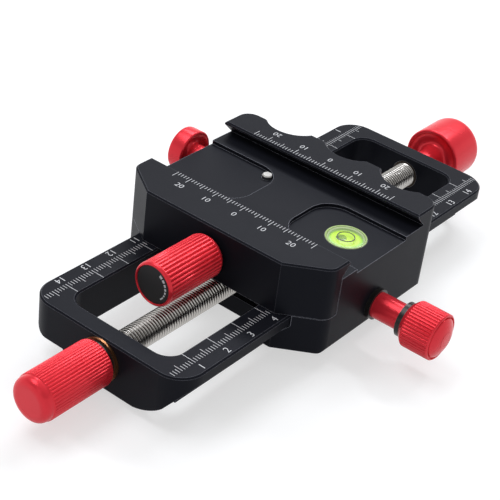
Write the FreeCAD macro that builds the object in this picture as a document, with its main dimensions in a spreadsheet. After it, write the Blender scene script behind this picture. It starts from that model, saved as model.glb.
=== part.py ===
import FreeCAD, Part
import math
import os
import Sketcher
from types import SimpleNamespace

# Macro focusing rail, in millimetres.
# X runs along the rail, +Z is up, and the origin is the mouth of the tripod socket in the rail's foot.

SIZES = [
    ("rail_length", 150, "rail, end face to end face"),
    ("rail_width", 55.4, "rail, edge to edge"),
    ("rail_height", 18, "foot face to rail top"),
    ("rail_corner", 8, "plan radius of the rail's corners"),
    ("rail_lip", 3.2, "upright edge of the rail above its slanted flank"),
    ("end_wall", 6, "end wall of the rail, along it"),
    ("slot_width", 36.4, "open slot across the rail"),
    ("slot_corner", 5, "plan radius of the slot's corners"),
    ("leg_wall", 3, "upright leg beside the slot"),
    ("leg_depth", 12.4, "rail top to the leg's lower edge"),
    ("end_shoulder", 11.4, "rail top to the underside of an end wall's shoulder"),
    ("end_round", 7, "radius of an end wall's lower corner"),
    ("belly_depth", 15.8, "rail top to the lowest line of an end wall"),
    ("belly_width", 24, "flat underside of an end wall"),
    ("belly_run", 1.7, "slope from the shoulder to the flat underside"),
    ("hull_width", 43.2, "end wall across the foot of its slanted side, if both sides were slanted"),
    ("hull_drop", 10.9, "rail top to the foot of that slanted side"),
    ("hull_round", 20, "radius from that foot to the flat underside"),
    ("rail_bevel", 0.5, "bright bevel along the rail's top edges"),
    ("foot_length", 41, "foot along the rail"),
    ("socket_radius", 4.7625, "three-eighths inch tripod thread, major radius"),
    ("socket_bush_radius", 7, "steel bush around the tripod thread"),
    ("screw_drop", 6.8, "rail top to the leadscrew's axis"),
    ("screw_radius", 3.95, "leadscrew over its thread"),
    ("journal_radius", 3, "plain ends of the leadscrew"),
    ("bush_radius", 4.6, "shaft bushes in the end walls"),
    ("run_fit", 0.05, "radial clearance of a shaft that turns or slides in its hole"),
    ("seat_fit", 0.02, "clearance round a piece that is fixed in its seat"),
    ("thrust_gap", 0.05, "end play between a turning face and a fixed one"),
    ("front_washer_radius", 6.4, "brass washer at the front end wall"),
    ("front_washer_thick", 0.65, "brass washer along the axis"),
    ("front_collar_radius", 5.8, "dark collar behind the front knob"),
    ("front_collar_thick", 1.4, "dark collar along the axis"),
    ("front_knob_radius", 6.85, "front knob over its ridges"),
    ("front_knob_length", 23.9, "front knob along the axis"),
    ("front_knob_edge", 2.3, "rounded outer edge of the front knob"),
    ("front_knob_bore", 17, "depth of the shaft in the front knob"),
    ("front_ridges", 48, "ridges round the front knob"),
    ("front_ridge_start", 0.5, "collar side of the front knob to its ridges"),
    ("front_ridge_length", 20.1, "ridges along the front knob"),
    ("rear_spacer_radius", 3.9, "bright spacer between the rear wall and the rear knob"),
    ("rear_reach", 10.5, "rear end face to the rim of the rear knob"),
    ("rear_knob_radius", 9.9, "smooth rear knob"),
    ("rear_knob_length", 15.8, "rear knob along the axis"),
    ("rear_knob_edge", 3, "rounded outer edge of the rear knob"),
    ("rear_rim", 1.8, "round rim of the rear knob around its bowl"),
    ("rear_bowl_depth", 3.6, "bowl in the inner side of the rear knob"),
    ("rear_bowl_floor", 5, "radius of the bowl's floor"),
    ("rear_knob_bore", 7, "depth of the shaft beyond the bowl's floor"),
    ("carriage_start", -33.2, "x of the carriage's front face at rest"),
    ("carriage_length", 63.2, "carriage, front face to rear face"),
    ("carriage_width", 72, "carriage across the rail"),
    ("carriage_rise", 16.5, "rail top to the top of the clamp"),
    ("carriage_drop", 11.4, "rail top to the underside of the cheeks"),
    ("front_chamfer_run", 8, "front corner chamfer along the rail"),
    ("front_chamfer_width", 12, "front corner chamfer across the rail"),
    ("front_corner_round", 4, "radius where the front chamfer meets the side"),
    ("cheek_round", 1.2, "radius of the cheeks' lower outer edges"),
    ("rear_step", 2.9, "rear face to the flats at the rear corners"),
    ("rear_corner", 4.6, "radius of the rear corners"),
    ("scallop_radius", 9.5, "radius of the finger scallops in the rear face"),
    ("side_scallop_depth", 5.5, "depth of the outer scallops"),
    ("side_scallop_inset", 14.2, "carriage side to the middle of an outer scallop"),
    ("mid_scallop_depth", 3.7, "depth of the middle scallop"),
    ("clamp_bevel", 0.5, "bevel along the clamp's top edges"),
    ("slide_gap", 0.3, "gap between the carriage and the rail"),
    ("hook_gap", 0.4, "gap between a cheek's hook and the rail's leg"),
    ("jaw_back", 12.2, "front face to the back of the movable jaw"),
    ("jaw_gap", 0.2, "gap between the movable jaw and the block"),
    ("jaw_lift", 0.15, "gap under the movable jaw"),
    ("lip_start", 15.2, "front face to the lip of the movable jaw"),
    ("fixed_jaw_length", 14.3, "lip of the fixed jaw to the rear face"),
    ("lip_edge", 1, "upright edge of a lip"),
    ("lip_undercut", 3.8, "slant under the fixed lip, along the rail"),
    ("jaw_undercut", 3, "slant under the movable lip, along the rail"),
    ("ledge_height", 11.7, "rail top to the clamp's ledges"),
    ("pocket_depth", 1.2, "ledge to the floor of the clamp"),
    ("pocket_start", 19.5, "front face to the clamp's floor"),
    ("pocket_length", 24.2, "clamp floor along the rail"),
    ("pocket_inner", 8.1, "middle line to the closed end of the clamp floor"),
    ("pocket_corner", 8, "radius of the floor's inner corners"),
    ("clamp_height", 7.9, "rail top to the clamp screw's axis"),
    ("clamp_screw_radius", 3, "clamp screw over its thread"),
    ("clamp_screw_reach", 31, "front face to the clamp screw's tip"),
    ("clamp_hole_extra", 3, "hole beyond the clamp screw's tip"),
    ("clear_fit", 0.2, "radial clearance of a screw in a plain hole"),
    ("clamp_washer_radius", 4.2, "washer under the clamp knob"),
    ("clamp_washer_thick", 1.35, "washer under the clamp knob, along the axis"),
    ("clamp_knob_radius", 6.5, "clamp knob over its flutes"),
    ("clamp_knob_length", 22, "clamp knob along the axis"),
    ("clamp_knob_edge", 0.4, "bevel of the clamp knob's edges"),
    ("clamp_knob_bore", 16, "depth of the screw in the clamp knob"),
    ("clamp_flutes", 34, "flutes round the clamp knob"),
    ("clamp_flute_start", 1.2, "washer side of the clamp knob to its flutes"),
    ("clamp_flute_length", 19.4, "flutes along the clamp knob"),
    ("cap_radius", 5.55, "dark cap in the end of the clamp knob"),
    ("cap_thick", 0.5, "dark cap along the axis"),
    ("cap_recess", 0.8, "depth of the cap's seat"),
    ("pin_radius", 2, "guide pins of the movable jaw"),
    ("pin_inset", 11, "carriage side to a guide pin's axis"),
    ("pin_height", 5.5, "rail top to a guide pin's axis"),
    ("pin_front", 6, "front face to the front end of a guide pin"),
    ("pin_length", 18, "guide pin along the rail"),
    ("pin_end_gap", 1, "hole beyond the front end of a guide pin"),
    ("nut_start", 20.7, "front face to the drive nut"),
    ("nut_length", 24, "drive nut along the rail"),
    ("nut_width", 18, "drive nut across the rail"),
    ("nut_fit", 0.1, "radial clearance of the leadscrew in its nut"),
    ("nut_screw_inset", 4, "end of the nut to its screws"),
    ("nut_screw_spread", 6.6, "middle line to a nut screw"),
    ("nut_screw_radius", 1.25, "shank of a nut screw"),
    ("nut_head_radius", 2, "head of a nut screw"),
    ("nut_head_thick", 1.8, "head of a nut screw along its axis"),
    ("nut_screw_bite", 3.4, "length of a nut screw in the carriage"),
    ("gib_start", 6, "front face to the gib strips"),
    ("gib_end", 9.2, "gib strips to the rear face"),
    ("gib_height", 2.6, "gib strip, upright"),
    ("gib_seat", 1, "depth of a gib's seat in the cheek"),
    ("gib_top", 0.3, "rail top to the upper edge of a gib strip"),
    ("lock_place", 32.1, "front face to the lock screw's axis"),
    ("lock_drop", 5.5, "rail top to the lock screw's axis"),
    ("lock_screw_radius", 2.95, "lock screw over its thread"),
    ("lock_pad_radius", 2.6, "lock pad"),
    ("lock_pad_length", 5.85, "lock pad along its axis"),
    ("lock_pad_gap", 0.1, "gap between the lock pad and the rail's flank"),
    ("lock_washer_radius", 4.7, "washer at the cheek"),
    ("lock_washer_end", 1.5, "cheek to the outer face of the washer"),
    ("lock_neck_radius", 4, "neck of the lock knob"),
    ("lock_neck_end", 10.5, "cheek to the outer end of the neck"),
    ("lock_ring_radius", 5.3, "dark ring under the lock knob"),
    ("lock_ring_end", 12, "cheek to the outer face of the ring"),
    ("lock_knob_radius", 7.1, "lock knob over its ridges"),
    ("lock_knob_bevel", 1.5, "bevel at the inner side of the lock knob"),
    ("lock_knob_edge", 0.6, "bevel at the outer side of the lock knob"),
    ("lock_knob_side", 22.5, "cheek to the end of the lock knob's ridges"),
    ("lock_dome_rise", 1.4, "height of the lock knob's dome"),
    ("lock_knob_bore", 8, "depth of the screw in the lock knob"),
    ("lock_ridges", 44, "ridges round the lock knob"),
    ("ridge_depth", 0.4, "depth of a knob's grooves"),
    ("ridge_width", 0.32, "half width of a knob's grooves at the rim"),
    ("flute_depth", 0.5, "depth of the clamp knob's flutes"),
    ("flute_width", 0.42, "half width of a flute at the rim"),
    ("level_place", 31.9, "front face to the level's centre"),
    ("level_inset", 12.6, "carriage side to the level's centre"),
    ("level_radius", 6.1, "bubble level"),
    ("level_stand", 0.2, "level above the clamp floor"),
    ("level_depth", 5, "level's seat below the clamp floor"),
    ("level_wall", 0.6, "wall and floor of the level's cup"),
    ("level_lens", 0.8, "lens of the level"),
    ("level_crown", 0.3, "crown of the lens"),
    ("plunger_place", 40.6, "front face to the plate stop"),
    ("plunger_height", 6.4, "rail top to the plunger's axis"),
    ("plunger_radius", 2.2, "plunger shaft"),
    ("sleeve_radius", 3.2, "plunger sleeve"),
    ("sleeve_depth", 6, "sleeve inside the carriage"),
    ("sleeve_stand", 2.5, "sleeve outside the carriage"),
    ("pull_reach", 4, "carriage side to the rim of the pull knob"),
    ("pull_radius", 7.1, "pull knob"),
    ("pull_length", 5.4, "pull knob along its axis"),
    ("pull_edge", 1.2, "rounded edges of the pull knob"),
    ("pull_inner_bevel", 0.4, "bevel at the inner side of the pull knob"),
    ("pull_trough_depth", 1.1, "trough round the hub in the inner side of the pull knob"),
    ("pull_rim", 1.2, "rim around that trough"),
    ("pull_hub_radius", 3.2, "hub of the pull knob"),
    ("pull_hub_reach", 1.4, "hub beyond the rim, towards the carriage"),
    ("pull_bore", 3.6, "depth of the shaft beyond the rim"),
    ("stop_side", 12, "middle line to the stop pin"),
    ("stop_radius", 1.6, "stop pin"),
    ("stop_stand", 1.2, "stop pin above the clamp floor"),
    ("stop_edge", 0.3, "bevel of the stop pin's head"),
    ("ramp_rise", 1, "plunger axis to the middle of its ramp"),
    ("ramp_run", 3, "plunger travel for the pin's whole drop"),
    ("ramp_fall", 2, "drop of the stop pin"),
]


class Size:
    """A length that remembers the sheet formula that gives it."""

    def __init__(self, value, formula):
        self.value = float(value)
        self.formula = formula

    def join(self, other, sign, value):
        return Size(value, f"({self.formula} {sign} {as_size(other).formula})")

    def __add__(self, other):
        return self.join(other, "+", self.value + as_size(other).value)

    def __sub__(self, other):
        return self.join(other, "-", self.value - as_size(other).value)

    def __mul__(self, other):
        return self.join(other, "*", self.value * as_size(other).value)

    def __truediv__(self, other):
        return self.join(other, "/", self.value / as_size(other).value)

    def __neg__(self):
        return Size(-self.value, f"(0 - {self.formula})")

    def root(self):
        return Size(math.sqrt(self.value), f"sqrt({self.formula})")


def as_size(value):
    return value if isinstance(value, Size) else Size(value, repr(float(value)))


ZERO = Size(0, "0")
doc = FreeCAD.newDocument("FocusingRail")
sheet = doc.addObject("Spreadsheet::Sheet", "Sizes")


def fill_sheet():
    """Write every size as a plain number with an alias, and hand the sizes back by name."""
    named = {}
    for row, (name, value, meaning) in enumerate(SIZES, start=1):
        sheet.set(f"A{row}", name)
        sheet.set(f"B{row}", str(value))
        sheet.setAlias(f"B{row}", name)
        sheet.set(f"C{row}", meaning)
        named[name] = Size(value, f"Sizes.{name}")
    doc.recompute()
    return SimpleNamespace(**named)


s = fill_sheet()
sub_parts = []

ALONG = FreeCAD.Rotation(FreeCAD.Vector(0, 0, 1), FreeCAD.Vector(1, 0, 0))
BACK = FreeCAD.Rotation(FreeCAD.Vector(0, 0, 1), FreeCAD.Vector(-1, 0, 0))
LEFT = FreeCAD.Rotation(FreeCAD.Vector(0, 0, 1), FreeCAD.Vector(0, 1, 0))
RIGHT = FreeCAD.Rotation(FreeCAD.Vector(0, 0, 1), FreeCAD.Vector(0, -1, 0))


def place(item, base, rotation=None):
    """Put a sub-part at base, three sizes, with its own Z axis turned by rotation."""
    item.Placement = FreeCAD.Placement(FreeCAD.Vector(), rotation or FreeCAD.Rotation())
    for axis, size in zip("xyz", base):
        item.setExpression(f"Placement.Base.{axis}", as_size(size).formula)


def new_body(label, base=(ZERO, ZERO, ZERO), rotation=None):
    body = doc.addObject("PartDesign::Body", label)
    body.Label = label
    place(body, base, rotation)
    sub_parts.append(body)
    return body


def new_sketch(body, role, name, offset=None):
    """Attach a sketch to one of the body's own origin planes, shifted along its normal by offset."""
    plane = next(feature for feature in body.Origin.OriginFeatures if feature.Role == role)
    sketch = body.newObject("Sketcher::SketchObject", f"{body.Name}_{name}")
    sketch.AttachmentSupport = [(plane, "")]
    sketch.MapMode = "FlatFace"
    if offset is not None:
        sketch.setExpression("AttachmentOffset.Base.z", as_size(offset).formula)
    return sketch


def pin_point(sketch, geometry, position, x, y):
    """Hold one point of a sketch at the sizes x and y from the sketch's origin."""
    for kind, axis, size in (("DistanceX", -2, as_size(x)), ("DistanceY", -1, as_size(y))):
        if size.formula == ZERO.formula:
            sketch.addConstraint(Sketcher.Constraint("PointOnObject", geometry, position, axis))
            continue
        index = sketch.addConstraint(
            Sketcher.Constraint(kind, -1, 1, geometry, position, size.value))
        sketch.setExpression(f"Constraints[{index}]", size.formula)


def hold_radius(sketch, geometry, radius):
    index = sketch.addConstraint(Sketcher.Constraint("Radius", geometry, radius.value))
    sketch.setExpression(f"Constraints[{index}]", radius.formula)


def arc_between(start, end, radius, turn):
    """The minor arc from start to end: turn is 1 to the left and -1 to the right."""
    chord = end - start
    middle = (start + end) * 0.5
    reach = math.sqrt(max(radius ** 2 - chord.Length ** 2 / 4, 0))
    normal = FreeCAD.Vector(-chord.y, chord.x, 0).normalize()
    centre = middle + normal * reach * turn
    first, last = (start, end) if turn > 0 else (end, start)
    angles = [math.atan2(point.y - centre.y, point.x - centre.x) for point in (first, last)]
    circle = Part.Circle(centre, FreeCAD.Vector(0, 0, 1), radius)
    return Part.ArcOfCircle(circle, angles[0], angles[1])


def draw(sketch, outline):
    """Close an outline. Each entry is (x, y) or, to reach the next point by an arc, (x, y, radius, turn)."""
    points = [FreeCAD.Vector(as_size(entry[0]).value, as_size(entry[1]).value, 0) for entry in outline]
    starts, ends, indices = [], [], []
    for number, entry in enumerate(outline):
        start = points[number]
        end = points[(number + 1) % len(points)]
        if len(entry) == 2:
            index = sketch.addGeometry(Part.LineSegment(start, end), False)
            first, last = 1, 2
        else:
            radius, turn = entry[2], entry[3]
            index = sketch.addGeometry(arc_between(start, end, radius.value, turn), False)
            first, last = (1, 2) if turn > 0 else (2, 1)
        indices.append(index)
        starts.append(first)
        ends.append(last)
    for number in range(len(outline)):
        following = (number + 1) % len(outline)
        sketch.addConstraint(Sketcher.Constraint(
            "Coincident", indices[number], ends[number], indices[following], starts[following]))
    for number, entry in enumerate(outline):
        pin_point(sketch, indices[number], starts[number], entry[0], entry[1])
        if len(entry) > 2:
            hold_radius(sketch, indices[number], entry[2])


def draw_circle(sketch, x, y, radius):
    x, y, radius = as_size(x), as_size(y), as_size(radius)
    centre = FreeCAD.Vector(x.value, y.value, 0)
    index = sketch.addGeometry(Part.Circle(centre, FreeCAD.Vector(0, 0, 1), radius.value), False)
    pin_point(sketch, index, 3, x, y)
    hold_radius(sketch, index, radius)


def box_outline(x_low, x_high, y_low, y_high):
    return [(x_low, y_low), (x_high, y_low), (x_high, y_high), (x_low, y_high)]


def rounded_outline(length, width, radius):
    """A centred rectangle with round corners."""
    x, y = length / 2, width / 2
    return [
        (x - radius, -y, radius, 1), (x, radius - y), (x, y - radius, radius, 1), (x - radius, y),
        (radius - x, y, radius, 1), (-x, y - radius), (-x, radius - y, radius, 1), (radius - x, -y),
    ]


def mirrored(outline):
    """The same outline with x turned round, for the other side of the part."""
    flipped = []
    count = len(outline)
    for number in range(count):
        entry = outline[-number % count]
        before = outline[(-number - 1) % count]
        flipped.append((-as_size(entry[0]), entry[1]) + tuple(before[2:]))
    return flipped


def volume(body):
    doc.recompute()
    return body.Shape.Volume


def pad(body, sketch, length, name, centred=False, backward=False):
    feature = body.newObject("PartDesign::Pad", f"{body.Name}_{name}")
    feature.Profile = sketch
    feature.setExpression("Length", as_size(length).formula)
    feature.Midplane = centred
    feature.Reversed = backward
    doc.recompute()
    return feature


def pocket(body, sketch, length, name, centred=False, forward=False):
    """Cut a sketch against its normal, or along it when forward, and make sure that it removes metal."""
    before = volume(body)
    feature = body.newObject("PartDesign::Pocket", f"{body.Name}_{name}")
    feature.Profile = sketch
    feature.setExpression("Length", as_size(length).formula)
    feature.Midplane = centred
    feature.Reversed = forward
    if volume(body) >= before - 1e-6:
        raise RuntimeError(f"{feature.Name} removed nothing")
    return feature


def dress(body, kind, name, edges, field, size):
    """Chamfer or fillet the listed edges of the body's last feature."""
    base = body.Tip
    feature = body.newObject(f"PartDesign::{kind}", f"{body.Name}_{name}")
    feature.Base = (base, edges)
    feature.setExpression(field, as_size(size).formula)
    doc.recompute()
    return feature


def edges_where(body, test):
    """Names of the edges of the last feature whose points all pass the test."""
    doc.recompute()
    names = []
    for number, edge in enumerate(body.Tip.Shape.Edges, start=1):
        if all(test(point) for point in edge.discretize(3)):
            names.append(f"Edge{number}")
    return names


def near(value, target):
    return abs(value - target) < 1e-4


def turned(label, outline, base, rotation):
    """A turned piece: outline is (radius, height along the axis)."""
    body = new_body(label, base, rotation)
    sketch = new_sketch(body, "XZ_Plane", "profile")
    draw(sketch, outline)
    feature = body.newObject("PartDesign::Revolution", f"{body.Name}_turn")
    feature.Profile = sketch
    feature.ReferenceAxis = (sketch, ["V_Axis"])
    feature.Angle = 360
    doc.recompute()
    return body


def ring(label, outer, inner, low, high, base, rotation):
    return turned(label, [(inner, low), (outer, low), (outer, high), (inner, high)], base, rotation)


def groove_round(body, radius, depth, half_width, start, length, count):
    """Repeat one straight V groove evenly round a turned knob."""
    sketch = new_sketch(body, "XY_Plane", "groove", start)
    overshoot = half_width / 2
    draw(sketch, [
        (radius - depth, ZERO), (radius + overshoot, -half_width * 1.3), (radius + overshoot, half_width * 1.3)])
    cut = pocket(body, sketch, length, "groove_cut", forward=True)
    before = volume(body)
    pattern = body.newObject("PartDesign::PolarPattern", f"{body.Name}_grooves")
    pattern.Originals = [cut]
    pattern.Axis = (sketch, ["N_Axis"])
    pattern.Angle = 360
    pattern.setExpression("Occurrences", as_size(count).formula)
    body.Tip = pattern
    if volume(body) >= before - 1e-6:
        raise RuntimeError(f"{pattern.Name} removed nothing")


rail_top = s.rail_height
rail_half = s.rail_width / 2
slot_half = s.slot_width / 2
leg_outer = slot_half + s.leg_wall
flank_fall = rail_half - leg_outer
slot_length = s.rail_length - s.end_wall * 2
screw_level = rail_top - s.screw_drop
over = s.rail_bevel * 2


def make_rail_frame():
    """The rail: a slotted plate with slanted flanks, two end walls with bellies, and the foot.

    Each end wall has a round lower corner on the left and a slanted, boat-like side on the right.
    """
    body = new_body("rail_frame", (ZERO, ZERO, rail_top))
    plan = new_sketch(body, "XY_Plane", "plan")
    draw(plan, rounded_outline(s.rail_length, s.rail_width, s.rail_corner))
    pad(body, plan, s.belly_depth, "plate", backward=True)

    belly_half = s.belly_width / 2
    round_side = [
        (rail_half, s.end_round - s.end_shoulder, s.end_round, -1),
        (rail_half - s.end_round, -s.end_shoulder),
        (belly_half + s.belly_run, -s.end_shoulder),
        (belly_half, -s.belly_depth),
        (belly_half, -s.belly_depth - over),
        (rail_half + over, -s.belly_depth - over),
        (rail_half + over, s.end_round - s.end_shoulder),
    ]
    slanted_side = [
        (rail_half, -s.rail_lip),
        (s.hull_width / 2, -s.hull_drop, s.hull_round, -1),
        (belly_half, -s.belly_depth),
        (belly_half, -s.belly_depth - over),
        (rail_half + over, -s.belly_depth - over),
        (rail_half + over, -s.rail_lip),
    ]
    for name, end_face, inward in (("front", -s.rail_length / 2, True), ("rear", s.rail_length / 2, False)):
        end = new_sketch(body, "YZ_Plane", f"{name}_end", end_face)
        draw(end, round_side)
        draw(end, mirrored(slanted_side))
        pocket(body, end, s.end_wall, f"{name}_end_shape", forward=inward)

    bars = new_sketch(body, "YZ_Plane", "bars")
    draw(bars, [
        (rail_half + over, -s.rail_lip), (rail_half, -s.rail_lip),
        (leg_outer, -s.rail_lip - flank_fall), (leg_outer, -s.leg_depth),
        (-leg_outer, -s.leg_depth), (-leg_outer, -s.rail_lip - flank_fall),
        (-rail_half, -s.rail_lip), (-rail_half - over, -s.rail_lip),
        (-rail_half - over, -s.belly_depth - over), (rail_half + over, -s.belly_depth - over),
    ])
    pocket(body, bars, slot_length, "bar_shape", centred=True)

    slot = new_sketch(body, "XY_Plane", "slot")
    draw(slot, rounded_outline(slot_length, s.slot_width, s.slot_corner))
    pocket(body, slot, s.belly_depth + over, "slot_cut")

    foot = new_sketch(body, "XY_Plane", "foot", -s.rail_height)
    draw(foot, box_outline(-s.foot_length / 2, s.foot_length / 2, -leg_outer, leg_outer))
    pad(body, foot, s.rail_height - s.leg_depth, "foot_pad")

    socket = new_sketch(body, "XY_Plane", "socket", -s.rail_height)
    draw_circle(socket, ZERO, ZERO, s.socket_bush_radius + s.seat_fit)
    pocket(body, socket, s.rail_height - s.leg_depth, "socket_cut", forward=True)

    shaft = new_sketch(body, "YZ_Plane", "shaft")
    draw_circle(shaft, ZERO, -s.screw_drop, s.bush_radius + s.seat_fit)
    pocket(body, shaft, s.rail_length + over, "shaft_cut", centred=True)

    top = edges_where(body, lambda point: near(point.z, 0))
    dress(body, "Chamfer", "bevel", top, "Size", s.rail_bevel)


def make_rail_trim():
    foot_thick = s.rail_height - s.leg_depth
    ring("tripod_bush", s.socket_bush_radius, s.socket_radius, ZERO, foot_thick, (ZERO, ZERO, ZERO), None)
    bore = s.journal_radius + s.run_fit
    half = s.rail_length / 2
    ring("front_bush", s.bush_radius, bore, ZERO, s.end_wall, (-half, ZERO, screw_level), ALONG)
    ring("rear_bush", s.bush_radius, bore, ZERO, s.end_wall, (half - s.end_wall, ZERO, screw_level), ALONG)


def make_drive_screw():
    """The leadscrew and all that turns with it, each piece placed along the screw's axis."""
    half = s.rail_length / 2
    thread_half = slot_length / 2 - s.thrust_gap
    front_stack = s.thrust_gap + s.front_washer_thick + s.front_collar_thick
    spacer_end = s.rear_reach + s.rear_bowl_depth
    front_tip = -half - front_stack - s.front_knob_bore
    rear_tip = half + spacer_end + s.rear_knob_bore
    middle = (ZERO, ZERO, screw_level)
    turned("leadscrew", [
        (ZERO, front_tip), (s.journal_radius, front_tip), (s.journal_radius, -thread_half),
        (s.screw_radius, -thread_half), (s.screw_radius, thread_half), (s.journal_radius, thread_half),
        (s.journal_radius, rear_tip), (ZERO, rear_tip)], middle, ALONG)
    bore = s.journal_radius + s.seat_fit
    front_end = (-half, ZERO, screw_level)
    washer_end = s.thrust_gap + s.front_washer_thick
    ring("front_washer", s.front_washer_radius, bore, s.thrust_gap, washer_end, front_end, BACK)
    ring("front_collar", s.front_collar_radius, bore, washer_end, front_stack, front_end, BACK)
    make_front_knob(bore, (-half - front_stack, ZERO, screw_level))
    rear_end = (half, ZERO, screw_level)
    ring("rear_spacer", s.rear_spacer_radius, bore, s.thrust_gap, spacer_end, rear_end, ALONG)
    make_rear_knob(bore, (half + s.rear_reach, ZERO, screw_level))


def make_front_knob(bore, base):
    radius, length, edge = s.front_knob_radius, s.front_knob_length, s.front_knob_edge
    bevel = s.clamp_knob_edge
    floor = s.front_knob_bore + s.seat_fit
    body = turned("front_knob", [
        (bore, ZERO), (radius - bevel, ZERO), (radius, bevel), (radius, length - edge, edge, 1),
        (radius - edge, length), (ZERO, length), (ZERO, floor), (bore, floor)], base, BACK)
    groove_round(body, radius, s.ridge_depth, s.ridge_width,
                 s.front_ridge_start, s.front_ridge_length, s.front_ridges)


def make_rear_knob(bore, base):
    radius, length, edge = s.rear_knob_radius, s.rear_knob_length, s.rear_knob_edge
    depth = s.rear_bowl_depth
    floor = depth + s.rear_knob_bore + s.seat_fit
    rim = s.rear_rim
    turned("rear_knob", [
        (bore, depth), (s.rear_bowl_floor, depth, depth * 1.6, 1), (radius - rim, ZERO, rim, 1),
        (radius, rim), (radius, length - edge, edge, 1),
        (radius - edge, length), (ZERO, length), (ZERO, floor), (bore, floor)], base, ALONG)


carriage_at = (s.carriage_start, ZERO, rail_top)
carriage_half = s.carriage_width / 2
block_front = s.jaw_back + s.jaw_gap
far_lip = s.carriage_length - s.fixed_jaw_length
side_scallop_place = carriage_half - s.side_scallop_inset
pin_spread = carriage_half - s.pin_inset
level_side = carriage_half - s.level_inset
lock_pad_face = rail_half + s.rail_lip - s.lock_drop + s.lock_pad_gap
lock_pad_end = lock_pad_face + s.lock_pad_length
lock_bite = carriage_half - lock_pad_end - s.thrust_gap
gib_length = s.carriage_length - s.gib_start - s.gib_end
floor_level = s.ledge_height - s.pocket_depth
channel_gap = s.slide_gap
cheek_face = rail_half + s.slide_gap
gib_low = -s.gib_top - s.gib_height


def front_points():
    """The front edge of the jaw and the cheeks, with its chamfered corners, from right to left."""
    flat = carriage_half - s.front_chamfer_width
    return [
        (s.front_chamfer_run, carriage_half), (ZERO, flat), (ZERO, -flat), (s.front_chamfer_run, -carriage_half)]


def rear_points():
    """The rear edge with its rounded corners and three finger scallops, from right to left."""
    radius = s.scallop_radius
    flat = s.carriage_length - s.rear_step
    side_centre = s.carriage_length - s.side_scallop_depth + radius
    mid_centre = s.carriage_length - s.mid_scallop_depth + radius
    outer_half = (radius * radius - (side_centre - flat) * (side_centre - flat)).root()
    side_reach = side_centre - s.carriage_length
    mid_reach = mid_centre - s.carriage_length
    inner_half = (radius * radius - side_reach * side_reach).root()
    mid_half = (radius * radius - mid_reach * mid_reach).root()
    outer = side_scallop_place + outer_half
    inner = side_scallop_place - inner_half
    corner = s.rear_corner
    return [
        (flat - corner, -carriage_half, corner, 1), (flat, corner - carriage_half),
        (flat, -outer, radius, -1), (s.carriage_length, -inner), (s.carriage_length, -mid_half, radius, -1),
        (s.carriage_length, mid_half), (s.carriage_length, inner, radius, -1), (flat, outer),
        (flat, carriage_half - corner, corner, 1), (flat - corner, carriage_half)]


def make_carriage_block():
    """The carriage: cheeks that hook under the rail's flanks, the clamp's floor and its fixed jaw."""
    body = new_body("carriage_block", carriage_at)
    height = s.carriage_rise + s.carriage_drop
    plan = new_sketch(body, "XY_Plane", "plan", -s.carriage_drop)
    draw(plan, front_points() + rear_points())
    pad(body, plan, height, "block")

    tip = s.front_chamfer_run.value
    side = carriage_half.value
    corners = edges_where(body, lambda point: near(point.x, tip) and near(abs(point.y), side))
    dress(body, "Fillet", "corner_round", corners, "Radius", s.front_corner_round)

    passage = new_sketch(body, "YZ_Plane", "passage")
    hook = leg_outer + s.hook_gap
    kink = -s.rail_lip - s.slide_gap / 2
    hook_level = kink - (cheek_face - hook)
    draw(passage, [
        (hook, -s.carriage_drop - over), (hook, hook_level), (cheek_face, kink), (cheek_face, channel_gap),
        (-cheek_face, channel_gap), (-cheek_face, kink), (-hook, hook_level), (-hook, -s.carriage_drop - over)])
    pocket(body, passage, s.carriage_length * 3, "passage_cut", centred=True)

    low = new_sketch(body, "YZ_Plane", "cheek_corners")
    corner = s.cheek_round
    outline = [
        (carriage_half - corner, -s.carriage_drop, corner, 1), (carriage_half, corner - s.carriage_drop),
        (carriage_half + over, corner - s.carriage_drop), (carriage_half + over, -s.carriage_drop - over),
        (carriage_half - corner, -s.carriage_drop - over)]
    draw(low, outline)
    draw(low, mirrored(outline))
    pocket(body, low, s.carriage_length * 3, "cheek_corners_cut", centred=True)

    clamp = new_sketch(body, "XZ_Plane", "clamp")
    top = s.carriage_rise + over
    draw(clamp, [
        (-over, ZERO), (block_front, ZERO), (block_front, s.ledge_height),
        (far_lip + s.lip_undercut, s.ledge_height),
        (far_lip, s.ledge_height + s.lip_undercut), (far_lip, top), (-over, top)])
    pocket(body, clamp, s.carriage_width + over, "clamp_cut", centred=True)

    for name, way in (("left", 1), ("right", -1)):
        floor = new_sketch(body, "XY_Plane", f"{name}_floor", floor_level)
        low = s.pocket_start
        high = s.pocket_start + s.pocket_length
        inner = s.pocket_inner
        corner = s.pocket_corner
        outline = [
            (high - corner, inner, corner, 1), (high, inner + corner), (high, carriage_half + over),
            (low, carriage_half + over), (low, inner + corner, corner, 1), (low + corner, inner)]
        if way < 0:
            outline = flipped_down(outline)
        draw(floor, outline)
        pocket(body, floor, s.pocket_depth + over, f"{name}_floor_cut", forward=True)

    make_carriage_holes(body)
    top_level = s.carriage_rise.value
    tops = edges_where(body, lambda point: near(point.z, top_level))
    dress(body, "Chamfer", "bevel", tops, "Size", s.clamp_bevel)


def flipped_down(outline):
    """The same outline with y turned round."""
    flipped = []
    count = len(outline)
    for number in range(count):
        entry = outline[-number % count]
        before = outline[(-number - 1) % count]
        flipped.append((entry[0], -as_size(entry[1])) + tuple(before[2:]))
    return flipped


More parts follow.
